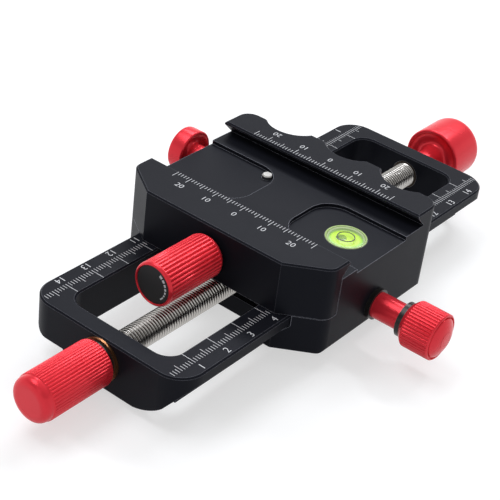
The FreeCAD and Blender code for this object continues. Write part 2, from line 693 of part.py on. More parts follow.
def make_carriage_holes(body):
    screw = new_sketch(body, "YZ_Plane", "screw_hole", block_front)
    draw_circle(screw, ZERO, s.clamp_height, s.clamp_screw_radius + s.run_fit)
    reach = s.clamp_screw_reach + s.clamp_hole_extra - block_front
    pocket(body, screw, reach, "screw_hole_cut", forward=True)

    pins = new_sketch(body, "YZ_Plane", "pin_holes", block_front)
    for side in (-pin_spread, pin_spread):
        draw_circle(pins, side, s.pin_height, s.pin_radius + s.seat_fit)
    pocket(body, pins, s.pin_front + s.pin_length - block_front, "pin_holes_cut", forward=True)

    level = new_sketch(body, "XY_Plane", "level_hole", floor_level - s.level_depth)
    draw_circle(level, s.level_place, -level_side, s.level_radius + s.seat_fit)
    pocket(body, level, s.level_depth + s.pocket_depth + over, "level_hole_cut", forward=True)

    sleeve = new_sketch(body, "XZ_Plane", "sleeve_hole", -carriage_half)
    draw_circle(sleeve, s.plunger_place, s.plunger_height, s.sleeve_radius + s.seat_fit)
    pocket(body, sleeve, s.sleeve_depth, "sleeve_hole_cut", forward=True)

    plunger = new_sketch(body, "XZ_Plane", "plunger_hole", -carriage_half)
    draw_circle(plunger, s.plunger_place, s.plunger_height, s.plunger_radius + s.run_fit)
    depth = carriage_half - plunger_tip() + s.thrust_gap
    pocket(body, plunger, depth, "plunger_hole_cut", forward=True)

    stop = new_sketch(body, "XY_Plane", "stop_hole", s.plunger_height)
    draw_circle(stop, s.plunger_place, s.stop_side, s.stop_radius + s.run_fit)
    pocket(body, stop, s.ledge_height - s.plunger_height, "stop_hole_cut", forward=True)

    lock = new_sketch(body, "XZ_Plane", "lock_hole", carriage_half)
    draw_circle(lock, s.lock_place, -s.lock_drop, s.lock_screw_radius + s.run_fit)
    pocket(body, lock, lock_bite + s.thrust_gap, "lock_hole_cut")

    pad_hole = new_sketch(body, "XZ_Plane", "pad_hole", carriage_half)
    draw_circle(pad_hole, s.lock_place, -s.lock_drop, s.lock_pad_radius + s.run_fit)
    pocket(body, pad_hole, carriage_half - slot_half, "pad_hole_cut")

    gibs = new_sketch(body, "XY_Plane", "gib_seats", -s.gib_top + s.seat_fit)
    wall = cheek_face + s.gib_seat + s.seat_fit
    front = s.gib_start - s.seat_fit
    rear = s.gib_start + gib_length + s.seat_fit
    draw(gibs, box_outline(front, rear, rail_half, wall))
    draw(gibs, box_outline(front, rear, -wall, -rail_half))
    pocket(body, gibs, s.gib_height + s.seat_fit * 2, "gib_seats_cut")

    threads = new_sketch(body, "XY_Plane", "nut_holes")
    for x, y in nut_screw_places():
        draw_circle(threads, x, y, s.nut_screw_radius + s.seat_fit)
    pocket(body, threads, s.slide_gap + s.nut_screw_bite + s.seat_fit, "nut_holes_cut", forward=True)


def nut_screw_places():
    front = s.nut_start + s.nut_screw_inset
    rear = s.nut_start + s.nut_length - s.nut_screw_inset
    return [(x, y) for x in (front, rear) for y in (-s.nut_screw_spread, s.nut_screw_spread)]


def make_drive_nut():
    """The brass nut hangs from the carriage's underside inside the rail's slot."""
    body = new_body("drive_nut", carriage_at)
    plan = new_sketch(body, "XY_Plane", "plan", -s.carriage_drop)
    half = s.nut_width / 2
    draw(plan, box_outline(s.nut_start, s.nut_start + s.nut_length, -half, half))
    pad(body, plan, s.carriage_drop + channel_gap, "block")
    bore = new_sketch(body, "YZ_Plane", "bore")
    draw_circle(bore, ZERO, -s.screw_drop, s.screw_radius + s.nut_fit)
    pocket(body, bore, s.carriage_length * 2, "bore_cut", centred=True)
    for name, radius, depth in (
            ("heads", s.nut_head_radius, s.nut_head_thick), ("shanks", s.nut_screw_radius, s.carriage_drop * 2)):
        holes = new_sketch(body, "XY_Plane", name, -s.carriage_drop)
        for x, y in nut_screw_places():
            draw_circle(holes, x, y, radius + s.seat_fit)
        pocket(body, holes, depth + s.seat_fit, f"{name}_cut", forward=True)
    for number, (x, y) in enumerate(nut_screw_places(), start=1):
        top = s.carriage_drop + channel_gap + s.nut_screw_bite
        base = (s.carriage_start + x, y, rail_top - s.carriage_drop)
        turned(f"nut_screw_{number}", [
            (ZERO, ZERO), (s.nut_head_radius, ZERO), (s.nut_head_radius, s.nut_head_thick),
            (s.nut_screw_radius, s.nut_head_thick), (s.nut_screw_radius, top), (ZERO, top)], base, None)


def make_gibs():
    thick = s.slide_gap - s.run_fit + s.gib_seat
    for name, low in (("left_gib", rail_half + s.run_fit), ("right_gib", -rail_half - s.run_fit - thick)):
        strip = doc.addObject("Part::Box", name)
        strip.Label = name
        for field, size in (("Length", gib_length), ("Width", thick), ("Height", s.gib_height)):
            strip.setExpression(field, size.formula)
        place(strip, (s.carriage_start + s.gib_start, low, rail_top + gib_low))
        sub_parts.append(strip)


def make_jaw_pins():
    for name, side in (("left_jaw_pin", pin_spread), ("right_jaw_pin", -pin_spread)):
        rod = doc.addObject("Part::Cylinder", name)
        rod.Label = name
        rod.setExpression("Radius", s.pin_radius.formula)
        rod.setExpression("Height", s.pin_length.formula)
        place(rod, (s.carriage_start + s.pin_front, side, rail_top + s.pin_height), ALONG)
        sub_parts.append(rod)


def make_level():
    """The bubble level: a cup, its liquid and a slightly crowned lens."""
    base = (s.carriage_start + s.level_place, -level_side, rail_top + floor_level - s.level_depth)
    top = s.level_depth + s.level_stand
    inner = s.level_radius - s.level_wall
    wall = s.level_wall
    liquid_top = top - s.level_lens
    turned("level_cup", [
        (ZERO, ZERO), (s.level_radius, ZERO), (s.level_radius, top), (inner, top), (inner, wall),
        (ZERO, wall)], base, None)
    fill = inner - s.seat_fit
    turned("level_liquid", [
        (ZERO, wall), (fill, wall), (fill, liquid_top), (ZERO, liquid_top)], base, None)
    rise = s.level_crown
    crown = (fill * fill + rise * rise) / (rise * 2)
    turned("level_lens", [
        (ZERO, liquid_top), (fill, liquid_top), (fill, top - rise, crown, 1), (ZERO, top)], base, None)


def make_movable_jaw():
    body = new_body("movable_jaw", carriage_at)
    plan = new_sketch(body, "XY_Plane", "plan", s.jaw_lift)
    draw(plan, front_points() + [(s.lip_start, -carriage_half), (s.lip_start, carriage_half)])
    pad(body, plan, s.carriage_rise - s.jaw_lift, "block")
    tip = s.front_chamfer_run.value
    side = carriage_half.value
    corners = edges_where(body, lambda point: near(point.x, tip) and near(abs(point.y), side))
    dress(body, "Fillet", "corner_round", corners, "Radius", s.front_corner_round)

    under = new_sketch(body, "XZ_Plane", "undercut")
    lip_low = s.carriage_rise - s.lip_edge
    draw(under, [
        (s.jaw_back, -over), (s.lip_start + over, -over), (s.lip_start + over, lip_low), (s.lip_start, lip_low),
        (s.jaw_back, lip_low - s.jaw_undercut)])
    pocket(body, under, s.carriage_width + over, "undercut_cut", centred=True)

    screw = new_sketch(body, "YZ_Plane", "screw_hole")
    draw_circle(screw, ZERO, s.clamp_height, s.clamp_screw_radius + s.clear_fit)
    pocket(body, screw, s.jaw_back * 3, "screw_hole_cut", centred=True)
    pins = new_sketch(body, "YZ_Plane", "pin_holes", s.pin_front - s.pin_end_gap)
    for place_y in (-pin_spread, pin_spread):
        draw_circle(pins, place_y, s.pin_height, s.pin_radius + s.run_fit)
    pocket(body, pins, s.jaw_back, "pin_holes_cut", forward=True)
    top_level = s.carriage_rise.value
    tops = edges_where(body, lambda point: near(point.z, top_level))
    dress(body, "Chamfer", "bevel", tops, "Size", s.clamp_bevel)


def make_clamp_knob():
    """The clamp screw and its long fluted knob, which turn in front of the movable jaw."""
    level = rail_top + s.clamp_height
    face = (s.carriage_start, ZERO, level)
    knob_low = s.thrust_gap + s.clamp_washer_thick
    tip = knob_low + s.clamp_knob_bore
    turned("clamp_screw", [
        (ZERO, -s.clamp_screw_reach), (s.clamp_screw_radius, -s.clamp_screw_reach),
        (s.clamp_screw_radius, tip), (ZERO, tip)], face, BACK)
    bore = s.clamp_screw_radius + s.seat_fit
    ring("clamp_washer", s.clamp_washer_radius, bore, s.thrust_gap, knob_low, face, BACK)
    radius, length, edge = s.clamp_knob_radius, s.clamp_knob_length, s.clamp_knob_edge
    floor = s.clamp_knob_bore + s.seat_fit
    seat = s.cap_radius + s.seat_fit
    knob_at = (s.carriage_start - knob_low, ZERO, level)
    body = turned("clamp_knob", [
        (bore, ZERO), (radius - edge, ZERO), (radius, edge), (radius, length - edge), (radius - edge, length),
        (seat, length), (seat, length - s.cap_recess), (ZERO, length - s.cap_recess),
        (ZERO, floor), (bore, floor)], knob_at, BACK)
    groove_round(body, radius, s.flute_depth, s.flute_width,
                 s.clamp_flute_start, s.clamp_flute_length, s.clamp_flutes)
    low = length - s.cap_recess
    turned("clamp_knob_cap", [
        (ZERO, low), (s.cap_radius, low), (s.cap_radius, low + s.cap_thick), (ZERO, low + s.cap_thick)],
        knob_at, BACK)


def make_lock():
    """The carriage lock: a knob whose screw pushes a slanted pad against the rail's flank."""
    level = rail_top - s.lock_drop
    x = s.carriage_start + s.lock_place
    face = (x, -carriage_half, level)
    bore = s.lock_screw_radius + s.seat_fit
    knob_low = s.lock_ring_end
    tip = knob_low + s.lock_knob_bore
    turned("lock_screw", [
        (ZERO, -lock_bite), (s.lock_screw_radius, -lock_bite), (s.lock_screw_radius, tip), (ZERO, tip)],
        face, RIGHT)
    ring("lock_washer", s.lock_washer_radius, bore, s.thrust_gap, s.lock_washer_end, face, RIGHT)
    ring("lock_neck", s.lock_neck_radius, bore, s.lock_washer_end, s.lock_neck_end, face, RIGHT)
    ring("lock_ring", s.lock_ring_radius, bore, s.lock_neck_end, s.lock_ring_end, face, RIGHT)
    radius = s.lock_knob_radius
    shoulder = radius - s.lock_knob_edge
    side_end = s.lock_knob_side
    dome_low = side_end + s.lock_knob_edge
    rise = s.lock_dome_rise
    dome = (shoulder * shoulder + rise * rise) / (rise * 2)
    floor = tip + s.seat_fit
    body = turned("lock_knob", [
        (bore, knob_low), (radius - s.lock_knob_bevel, knob_low), (radius, knob_low + s.lock_knob_bevel),
        (radius, side_end), (shoulder, dome_low, dome, 1), (ZERO, dome_low + rise), (ZERO, floor),
        (bore, floor)], face, RIGHT)
    start = knob_low + s.lock_knob_bevel / 2
    groove_round(body, radius, s.ridge_depth, s.ridge_width,
                 start, s.lock_knob_side + s.lock_knob_edge - start, s.lock_ridges)

    pad_body = new_body("lock_pad", (x, ZERO, level))
    disc = new_sketch(pad_body, "XZ_Plane", "disc", lock_pad_end)
    draw_circle(disc, ZERO, ZERO, s.lock_pad_radius)
    pad(pad_body, disc, lock_pad_end - slot_half, "rod", backward=True)
    slant = new_sketch(pad_body, "YZ_Plane", "slant")
    reach = s.lock_pad_radius * 2
    draw(slant, [
        (-lock_pad_face - reach, reach), (-lock_pad_face + reach, -reach), (reach, -reach), (reach, reach)])
    pocket(pad_body, slant, reach * 2, "slant_cut", centred=True)


def ramp_slope():
    return s.ramp_fall / s.ramp_run


def plunger_tip():
    """Where the plunger's ramp meets its lower side, from the middle line."""
    return s.stop_side - (s.plunger_radius + s.ramp_rise) / ramp_slope()


def make_plate_stop():
    """The pull knob's shaft ends in a ramp, and the stop pin stands on it."""
    x = s.carriage_start + s.plunger_place
    level = rail_top + s.plunger_height
    side = (x, carriage_half, level)
    bore = s.plunger_radius + s.seat_fit
    sleeve_bore = s.plunger_radius + s.run_fit
    ring("plunger_sleeve", s.sleeve_radius, sleeve_bore, -s.sleeve_depth, s.sleeve_stand, side, LEFT)
    radius, length, edge = s.pull_radius, s.pull_length, s.pull_edge
    hub, bevel = s.pull_hub_radius, s.pull_inner_bevel
    rim = radius - s.pull_rim
    deep = s.pull_trough_depth
    half_trough = (rim - hub) / 2
    trough = (half_trough * half_trough + deep * deep) / (deep * 2)
    floor = s.pull_bore + s.seat_fit
    knob_at = (x, carriage_half + s.pull_reach, level)
    turned("pull_knob", [
        (bore, -s.pull_hub_reach), (hub, -s.pull_hub_reach), (hub, ZERO, trough, -1), (rim, ZERO),
        (radius - bevel, ZERO), (radius, bevel), (radius, length - edge, edge, 1),
        (radius - edge, length), (ZERO, length), (ZERO, floor), (bore, floor)], knob_at, LEFT)

    shaft = new_body("plunger_shaft", (x, ZERO, level))
    tip = plunger_tip()
    end = carriage_half + s.pull_reach + s.pull_bore
    disc = new_sketch(shaft, "XZ_Plane", "disc", -end)
    draw_circle(disc, ZERO, ZERO, s.plunger_radius)
    pad(shaft, disc, end - tip, "rod")
    ramp = new_sketch(shaft, "YZ_Plane", "ramp")
    top = s.plunger_radius + over
    ramp_top = s.stop_side + (top - s.ramp_rise) / ramp_slope()
    draw(ramp, [
        (tip, -s.plunger_radius), (ramp_top, top), (tip - over, top), (tip - over, -s.plunger_radius)])
    pocket(shaft, ramp, s.plunger_radius * 4, "ramp_cut", centred=True)

    pin = new_body("stop_pin", (x, s.stop_side, rail_top))
    foot = s.plunger_height + s.ramp_rise + s.run_fit
    low = foot - s.stop_radius * 2
    head = floor_level + s.stop_stand
    profile = new_sketch(pin, "XZ_Plane", "profile")
    draw(profile, [
        (ZERO, low), (s.stop_radius, low), (s.stop_radius, head - s.stop_edge),
        (s.stop_radius - s.stop_edge, head), (ZERO, head)])
    turn = pin.newObject("PartDesign::Revolution", "stop_pin_turn")
    turn.Profile = profile
    turn.ReferenceAxis = (profile, ["V_Axis"])
    turn.Angle = 360
    doc.recompute()
    cut = new_sketch(pin, "YZ_Plane", "foot")
    reach = s.stop_radius * 2
    fall = reach * ramp_slope()
    draw(cut, [(-reach, foot - fall), (-reach, low - reach), (reach, low - reach), (reach, foot + fall)])
    pocket(pin, cut, reach * 2, "foot_cut", centred=True)


def check_and_write():
    """Refuse any failed object or bad shape, then write each sub-part to its own file."""
    doc.recompute()
    for item in doc.Objects:
        if "Invalid" in item.State or "Error" in item.State:
            raise RuntimeError(f"{item.Name} failed: {item.State}")
    for item in sub_parts:
        if item.Shape.isNull() or not item.Shape.isValid() or not item.Shape.Solids:
            raise RuntimeError(f"{item.Label} has no valid solid")
    os.makedirs("parts", exist_ok=True)
    for item in sub_parts:
        item.Shape.exportStep(f"parts/{item.Label}.step")
        box = item.Shape.BoundBox
        print(f"{item.Label}: {item.Shape.Volume:.1f} mm3, x {box.XMin:.2f} {box.XMax:.2f}, "
              f"y {box.YMin:.2f} {box.YMax:.2f}, z {box.ZMin:.2f} {box.ZMax:.2f}")


make_rail_frame()
make_rail_trim()
make_drive_screw()
make_carriage_block()
make_drive_nut()
make_gibs()
make_jaw_pins()
make_level()
make_movable_jaw()
make_clamp_knob()
make_lock()
make_plate_stop()
check_and_write()
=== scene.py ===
import math

import bmesh
import bpy
import numpy as np
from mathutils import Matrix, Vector


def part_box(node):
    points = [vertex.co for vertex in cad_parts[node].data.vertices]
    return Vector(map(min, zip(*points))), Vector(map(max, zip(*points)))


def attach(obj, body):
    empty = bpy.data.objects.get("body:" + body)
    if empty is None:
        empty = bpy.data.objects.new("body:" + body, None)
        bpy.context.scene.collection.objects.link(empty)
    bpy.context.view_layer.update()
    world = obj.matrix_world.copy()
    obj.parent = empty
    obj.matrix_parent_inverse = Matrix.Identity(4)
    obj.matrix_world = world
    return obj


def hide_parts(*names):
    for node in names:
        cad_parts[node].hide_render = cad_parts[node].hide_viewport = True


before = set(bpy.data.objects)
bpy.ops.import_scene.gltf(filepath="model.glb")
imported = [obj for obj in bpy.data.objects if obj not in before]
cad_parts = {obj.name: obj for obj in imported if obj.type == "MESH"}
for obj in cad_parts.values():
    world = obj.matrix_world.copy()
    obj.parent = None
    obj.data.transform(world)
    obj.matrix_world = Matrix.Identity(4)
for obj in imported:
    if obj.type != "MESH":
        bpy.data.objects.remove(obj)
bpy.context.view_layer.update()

# The looks of a macro focusing rail: black anodised metal, red anodised knobs, a bright leadscrew,
# white engraved scales and a bubble level. Lengths are in millimetres, apart from those of lamps and
# shaders, which are in metres.

MM = 0.001

CAMERA_PLACE = (-296.99, -196.15, 242.88)
CAMERA_TURN_DEGREES = (56.632, -6.350, -51.127)
CAMERA_LENS = 103.02

ALONG_RAIL = Vector((1, 0, 0))
UP = Vector((0, 0, 1))

THREAD_PITCH = 1.0
THREAD_DEPTH = 0.62

# How far a white mark stands out of its surface, and how far it reaches down into it.
INLAY_PROUD = 0.015
INLAY_SUNK = 0.06

# A digit's height as a share of the font's size, and how much thinner its strokes are than the font's own.
DIGIT_SHARE = 0.72
STROKE_THINNER = 0.014

# Steps round the axis of a turned piece, and for each ridge of a ridged one.
TURN_STEPS = 96
STEPS_PER_RIDGE = 12

# Ridges act only near the largest radius, which leaves the end faces smooth, and they end in a short ramp.
RIDGED_SHARE = 0.93
RIDGE_RAMP = 0.28
RIDGED_SMOOTH_DEGREES = 70

# How much of a profile's side one rounding may use.
LONGEST_ROUNDING = 0.9

# The radius at which a knob's inner face starts, behind the piece that it joins.
KNOB_BORE = 3.2

# The thickness of the rail's end walls, and where the fixed jaw's lip lies along the rail.
END_WALL = 6.05
FIXED_LIP_X = 15.7

# Where the bubble rests, off the level's middle.
BUBBLE_SHIFT = (-0.4, 1.3)

# The point that all lamps face, in metres.
LAMP_AIM = Vector((0, 0, 0.02))


def node_box(node):
    """The lowest and highest corners of a CAD node, in millimetres."""
    low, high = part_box(node)
    return np.array(low) / MM, np.array(high) / MM


def axis_frame(axis):
    """Two directions square to an axis, so that (first, second, axis) is right-handed."""
    axis = Vector(axis).normalized()
    helper = UP if abs(axis.z) < 0.9 else ALONG_RAIL
    first = helper.cross(axis).normalized()
    return np.array(first), np.array(axis.cross(first)), np.array(axis)


def finish_mesh(name, points, faces, material, body, smooth_degrees=32):
    """Build a mesh from points in millimetres, weld it, turn its faces outwards and let it ride a body."""
    mesh = bpy.data.meshes.new(name)
    mesh.from_pydata((np.asarray(points) * MM).tolist(), [], faces)
    work = bmesh.new()
    work.from_mesh(mesh)
    bmesh.ops.remove_doubles(work, verts=work.verts, dist=1e-7)
    bmesh.ops.dissolve_degenerate(work, edges=work.edges, dist=1e-8)
    bmesh.ops.recalc_face_normals(work, faces=work.faces)
    work.to_mesh(mesh)
    work.free()
    mesh.shade_smooth()
    mesh.set_sharp_from_angle(angle=math.radians(smooth_degrees))
    mesh.materials.append(material)
    piece = bpy.data.objects.new(name, mesh)
    bpy.context.scene.collection.objects.link(piece)
    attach(piece, body)
    return piece


def grid_faces(rows, columns, closed):
    """Quads of a grid of rows by columns; when closed, the last column joins the first."""
    across = columns if closed else columns - 1
    row, column = np.meshgrid(np.arange(rows - 1), np.arange(across), indexing="ij")
    right = (column + 1) % columns
    quads = np.stack([
        row * columns + column, row * columns + right,
        (row + 1) * columns + right, (row + 1) * columns + column], axis=-1)
    return quads.reshape(-1, 4).tolist()


def round_corners(outline):
    """Round a profile's corners.

    Each entry is (radius, height, rounding). A corner C with neighbours P and N becomes the curve
    (1-t)^2 A + 2t(1-t) C + t^2 B, where A and B lie on its two sides at the rounding's distance from C.
    """
    corners = np.array([entry[:2] for entry in outline], dtype=float)
    result = [corners[0]]
    for before, corner, after, entry in zip(corners, corners[1:], corners[2:], outline[1:]):
        rounding = entry[2]
        if rounding <= 0:
            result.append(corner)
            continue
        spread = np.linspace(0, 1, int(4 + 3 * rounding))[:, None]
        back = before - corner
        ahead = after - corner
        start = corner + back * min(rounding / np.linalg.norm(back), LONGEST_ROUNDING)
        end = corner + ahead * min(rounding / np.linalg.norm(ahead), LONGEST_ROUNDING)
        result.extend((1 - spread) ** 2 * start + 2 * spread * (1 - spread) * corner + spread ** 2 * end)
    result.append(corners[-1])
    return np.array(result)


def turned_piece(name, outline, base, axis, material, body, ridges=None, smooth_degrees=40):
    """Turn a profile (radius, height) round an axis: P = base + height * axis + radius * (cos a, sin a).

    Ridges (count, depth, low, high, sharpness) press straight grooves into the heights from low to high:
    the radius loses depth * (0.5 + 0.5 cos(count * a)) ** sharpness there, where it is near its largest.
    """
    profile = round_corners(outline)
    first, second, along = axis_frame(axis)
    steps = TURN_STEPS
    if ridges:
        count, depth, low, high, sharpness = ridges
        steps = count * STEPS_PER_RIDGE
        smooth_degrees = RIDGED_SMOOTH_DEGREES
        profile = add_heights(profile, low, high)
    radius = profile[:, 0][:, None]
    height = profile[:, 1][:, None]
    turn = np.linspace(0, 2 * math.pi, steps, endpoint=False)[None, :]
    if ridges:
        outer = radius > profile[:, 0].max() * RIDGED_SHARE
        inside = (height > low - 1e-6) & (height < high + 1e-6) & outer
        wave = (0.5 + 0.5 * np.cos(count * turn)) ** sharpness
        radius = radius - depth * wave * inside
    else:
        radius = radius + 0 * turn
    points = (
        np.array(base)
        + height[..., None] * along
        + (radius * np.cos(turn))[..., None] * first
        + (radius * np.sin(turn))[..., None] * second)
    rows, columns = points.shape[:2]
    return finish_mesh(
        name, points.reshape(-1, 3), grid_faces(rows, columns, True), material, body, smooth_degrees)


def add_heights(profile, low, high):
    """Add points just inside and outside the ridges' ends, so that each ridge starts with a short ramp."""
    wanted = [low - RIDGE_RAMP, low, high, high + RIDGE_RAMP]
    straight_within = 0.02
    rows = [profile[0]]
    for start, end in zip(profile, profile[1:]):
        if abs(end[0] - start[0]) < straight_within and abs(end[1] - start[1]) > RIDGE_RAMP:
            for level in sorted(wanted, reverse=end[1] < start[1]):
                share = (level - start[1]) / (end[1] - start[1])
                if 0.001 < share < 0.999:
                    rows.append(start + (end - start) * share)
        rows.append(end)
    return np.array(rows)


def flat_bars(name, centres, sizes, level, material, body):
    """Thin upright boxes for engraved marks: each centre (x, y) has its own size (x, y) on one level."""
    centres = np.asarray(centres, dtype=float)
    sizes = np.asarray(sizes, dtype=float)
    signs = np.array([(-1, -1), (1, -1), (1, 1), (-1, 1)])
    flat = centres[:, None, :] + signs[None] * sizes[:, None, :] / 2
    count = len(centres)
    low = np.concatenate([flat, np.full((count, 4, 1), level - INLAY_SUNK)], axis=2)
    high = np.concatenate([flat, np.full((count, 4, 1), level + INLAY_PROUD)], axis=2)
    points = np.concatenate([low, high], axis=1).reshape(-1, 3)
    pattern = np.array([
        (0, 3, 2, 1), (4, 5, 6, 7), (0, 1, 5, 4), (1, 2, 6, 5), (2, 3, 7, 6), (3, 0, 4, 7)])
    faces = (np.arange(count)[:, None, None] * 8 + pattern[None]).reshape(-1, 4).tolist()
    return finish_mesh(name, points, faces, material, body)


def number_mesh(text, height):
    """One number as flat raised strokes, centred on the origin, with digits of the given height."""
    curve = bpy.data.curves.new(f"number_{text}", "FONT")
    curve.body = text
    curve.size = height / DIGIT_SHARE
    curve.align_x = "CENTER"
    curve.align_y = "CENTER"
    curve.extrude = (INLAY_PROUD + INLAY_SUNK) / 2
    curve.offset = -height * STROKE_THINNER
    curve.resolution_u = 3
    holder = bpy.data.objects.new(f"number_{text}", curve)
    mesh = bpy.data.meshes.new_from_object(holder)
    points = np.empty(len(mesh.vertices) * 3)
    mesh.vertices.foreach_get("co", points)
    faces = [tuple(polygon.vertices) for polygon in mesh.polygons]
    bpy.data.objects.remove(holder)
    bpy.data.curves.remove(curve)
    bpy.data.meshes.remove(mesh)
    return points.reshape(-1, 3), faces


def numbers_piece(name, labels, height, level, material, body):
    """Place numbers on a level. Each label is (text, x, y, direction of the line of text)."""
    all_points, all_faces, used = [], [], 0
    middle = level + (INLAY_PROUD - INLAY_SUNK) / 2
    for text, x, y, reading in labels:
        points, faces = number_mesh(text, height)
        points[:, :2] -= (points[:, :2].min(axis=0) + points[:, :2].max(axis=0)) / 2
        right = np.array(reading, dtype=float)
        upward = np.array((-right[1], right[0]))
        flat = points[:, :1] * right + points[:, 1:2] * upward + (x, y)
        all_points.append(np.concatenate([flat, points[:, 2:] + middle], axis=1))
        all_faces.extend([tuple(index + used for index in face) for face in faces])
        used += len(points)
    return finish_mesh(name, np.concatenate(all_points), all_faces, material, body)


# Shader groups: each puts out values that change over the surface.

def new_group(name, inputs, outputs):
    """A shader node group with float inputs (name, value) and outputs (name, kind)."""
    group = bpy.data.node_groups.new(name, "ShaderNodeTree")
    for label, value in inputs:
        socket = group.interface.new_socket(label, in_out="INPUT", socket_type="NodeSocketFloat")
        socket.default_value = value
    for label, kind in outputs:
        group.interface.new_socket(label, in_out="OUTPUT", socket_type=kind)
    entry = group.nodes.new("NodeGroupInput")
    leave = group.nodes.new("NodeGroupOutput")
    return group, entry, leave


def math_node(nodes, operation, first=None, second=None, clamp=False):
    """A math node; first and second set the inputs that nothing is linked to."""
    node = nodes.new("ShaderNodeMath")
    node.operation = operation
    node.use_clamp = clamp
    if first is not None:
        node.inputs[0].default_value = first
    if second is not None:
        node.inputs[1].default_value = second
    return node


def blasted_surface_group():
    """Bead-blasted metal: fine even grain for the bump, slow patches for the tint and the polish."""
    group, entry, leave = new_group(
        "blasted_surface", [("Grain per metre", 5200.0), ("Patch per metre", 45.0), ("Spread", 0.05)],
        [("Height", "NodeSocketFloat"), ("Tint", "NodeSocketFloat"), ("Polish", "NodeSocketFloat")])
    nodes, links = group.nodes, group.links
    place = nodes.new("ShaderNodeTexCoord")
    grain = nodes.new("ShaderNodeTexNoise")
    grain.inputs["Detail"].default_value = 2.0
    patch = nodes.new("ShaderNodeTexNoise")
    patch.inputs["Detail"].default_value = 3.0
    links.new(place.outputs["Object"], grain.inputs["Vector"])
    links.new(place.outputs["Object"], patch.inputs["Vector"])
    links.new(entry.outputs["Grain per metre"], grain.inputs["Scale"])
    links.new(entry.outputs["Patch per metre"], patch.inputs["Scale"])
    centred = math_node(nodes, "SUBTRACT", second=0.5)
    links.new(patch.outputs["Fac"], centred.inputs[0])
    spread = math_node(nodes, "MULTIPLY")
    links.new(centred.outputs[0], spread.inputs[0])
    links.new(entry.outputs["Spread"], spread.inputs[1])
    tint = math_node(nodes, "ADD", second=0.5)
    links.new(spread.outputs[0], tint.inputs[0])
    links.new(grain.outputs["Fac"], leave.inputs["Height"])
    links.new(tint.outputs[0], leave.inputs["Tint"])
    links.new(spread.outputs[0], leave.inputs["Polish"])
    return group


def bright_edge_group():
    """A painted highlight on edges: 1 where the rounded normal turns away from the face's own normal, else
    0.
    """
    group, entry, leave = new_group(
        "painted_edge_highlight", [("Radius metres", 0.00035), ("Gain", 3.0)], [("Edge", "NodeSocketFloat")])
    nodes, links = group.nodes, group.links
    rounded = nodes.new("ShaderNodeBevel")
    rounded.samples = 6
    links.new(entry.outputs["Radius metres"], rounded.inputs["Radius"])
    face = nodes.new("ShaderNodeNewGeometry")
    likeness = nodes.new("ShaderNodeVectorMath")
    likeness.operation = "DOT_PRODUCT"
    links.new(rounded.outputs["Normal"], likeness.inputs[0])
    links.new(face.outputs["Normal"], likeness.inputs[1])
    away = math_node(nodes, "SUBTRACT", first=1.0)
    links.new(likeness.outputs["Value"], away.inputs[1])
    gained = math_node(nodes, "MULTIPLY", clamp=True)
    links.new(away.outputs[0], gained.inputs[0])
    links.new(entry.outputs["Gain"], gained.inputs[1])
    links.new(gained.outputs[0], leave.inputs["Edge"])
    return group


BLASTED = blasted_surface_group()
PAINTED_EDGE_HIGHLIGHT = bright_edge_group()


def new_material(name):
    """A new material, with its nodes, its links and its main shader."""
    material = bpy.data.materials.new(name)
    material.use_nodes = True
    nodes = material.node_tree.nodes
    return material, nodes, material.node_tree.links, nodes["Principled BSDF"]


def place_group(nodes, group, **values):
    """Place a node group. Each value sets the input of that name, with spaces for underscores."""
    holder = nodes.new("ShaderNodeGroup")
    holder.node_tree = group
    for label, value in values.items():
        holder.inputs[label.replace("_", " ")].default_value = value
    return holder


def drifting_colour(nodes, links, blasted, colour, pale):
    """A colour that drifts between two tones in the slow patches of a blasted surface."""
    drift = nodes.new("ShaderNodeMix")
    drift.data_type = "RGBA"
    drift.inputs["A"].default_value = (*colour, 1)
    drift.inputs["B"].default_value = (*pale, 1)
    links.new(blasted.outputs["Tint"], drift.inputs["Factor"])
    return drift.outputs["Result"]


def metal_finish(name, colour, pale, edge_highlight_colour, roughness, metallic, grain, bump, edge_highlight_gain=3.0,
                 edge_highlight_radius=0.00035, spread=0.5, **fixed):
    """A finish that drifts between colour and pale in slow patches and turns towards a painted edge
    highlight colour at edges.

    With an edge gain of 0 the piece has no painted edge highlight and keeps one tone to its edges, as finely
    ridged and threaded pieces do.
    """
    material, nodes, links, shader = new_material(name)
    shader.inputs["Metallic"].default_value = metallic
    for label, value in fixed.items():
        shader.inputs[label.replace("_", " ")].default_value = value
    blasted = place_group(nodes, BLASTED, Grain_per_metre=grain, Spread=spread)
    tone = drifting_colour(nodes, links, blasted, colour, pale)
    # Painted highlight: the edges are mixed towards a lighter colour, as light catches small rounded edges.
    if edge_highlight_gain > 0:
        edge = place_group(nodes, PAINTED_EDGE_HIGHLIGHT, Gain=edge_highlight_gain, Radius_metres=edge_highlight_radius)
        rim = nodes.new("ShaderNodeMix")
        rim.data_type = "RGBA"
        rim.inputs["B"].default_value = (*edge_highlight_colour, 1)
        links.new(edge.outputs["Edge"], rim.inputs["Factor"])
        links.new(tone, rim.inputs["A"])
        tone = rim.outputs["Result"]
    links.new(tone, shader.inputs["Base Color"])
    rough = math_node(nodes, "ADD", second=roughness)
    links.new(blasted.outputs["Polish"], rough.inputs[0])
    links.new(rough.outputs[0], shader.inputs["Roughness"])
    relief = nodes.new("ShaderNodeBump")
    relief.inputs["Strength"].default_value = bump
    relief.inputs["Distance"].default_value = 0.00004
    links.new(blasted.outputs["Height"], relief.inputs["Height"])
    links.new(relief.outputs["Normal"], shader.inputs["Normal"])
    return material
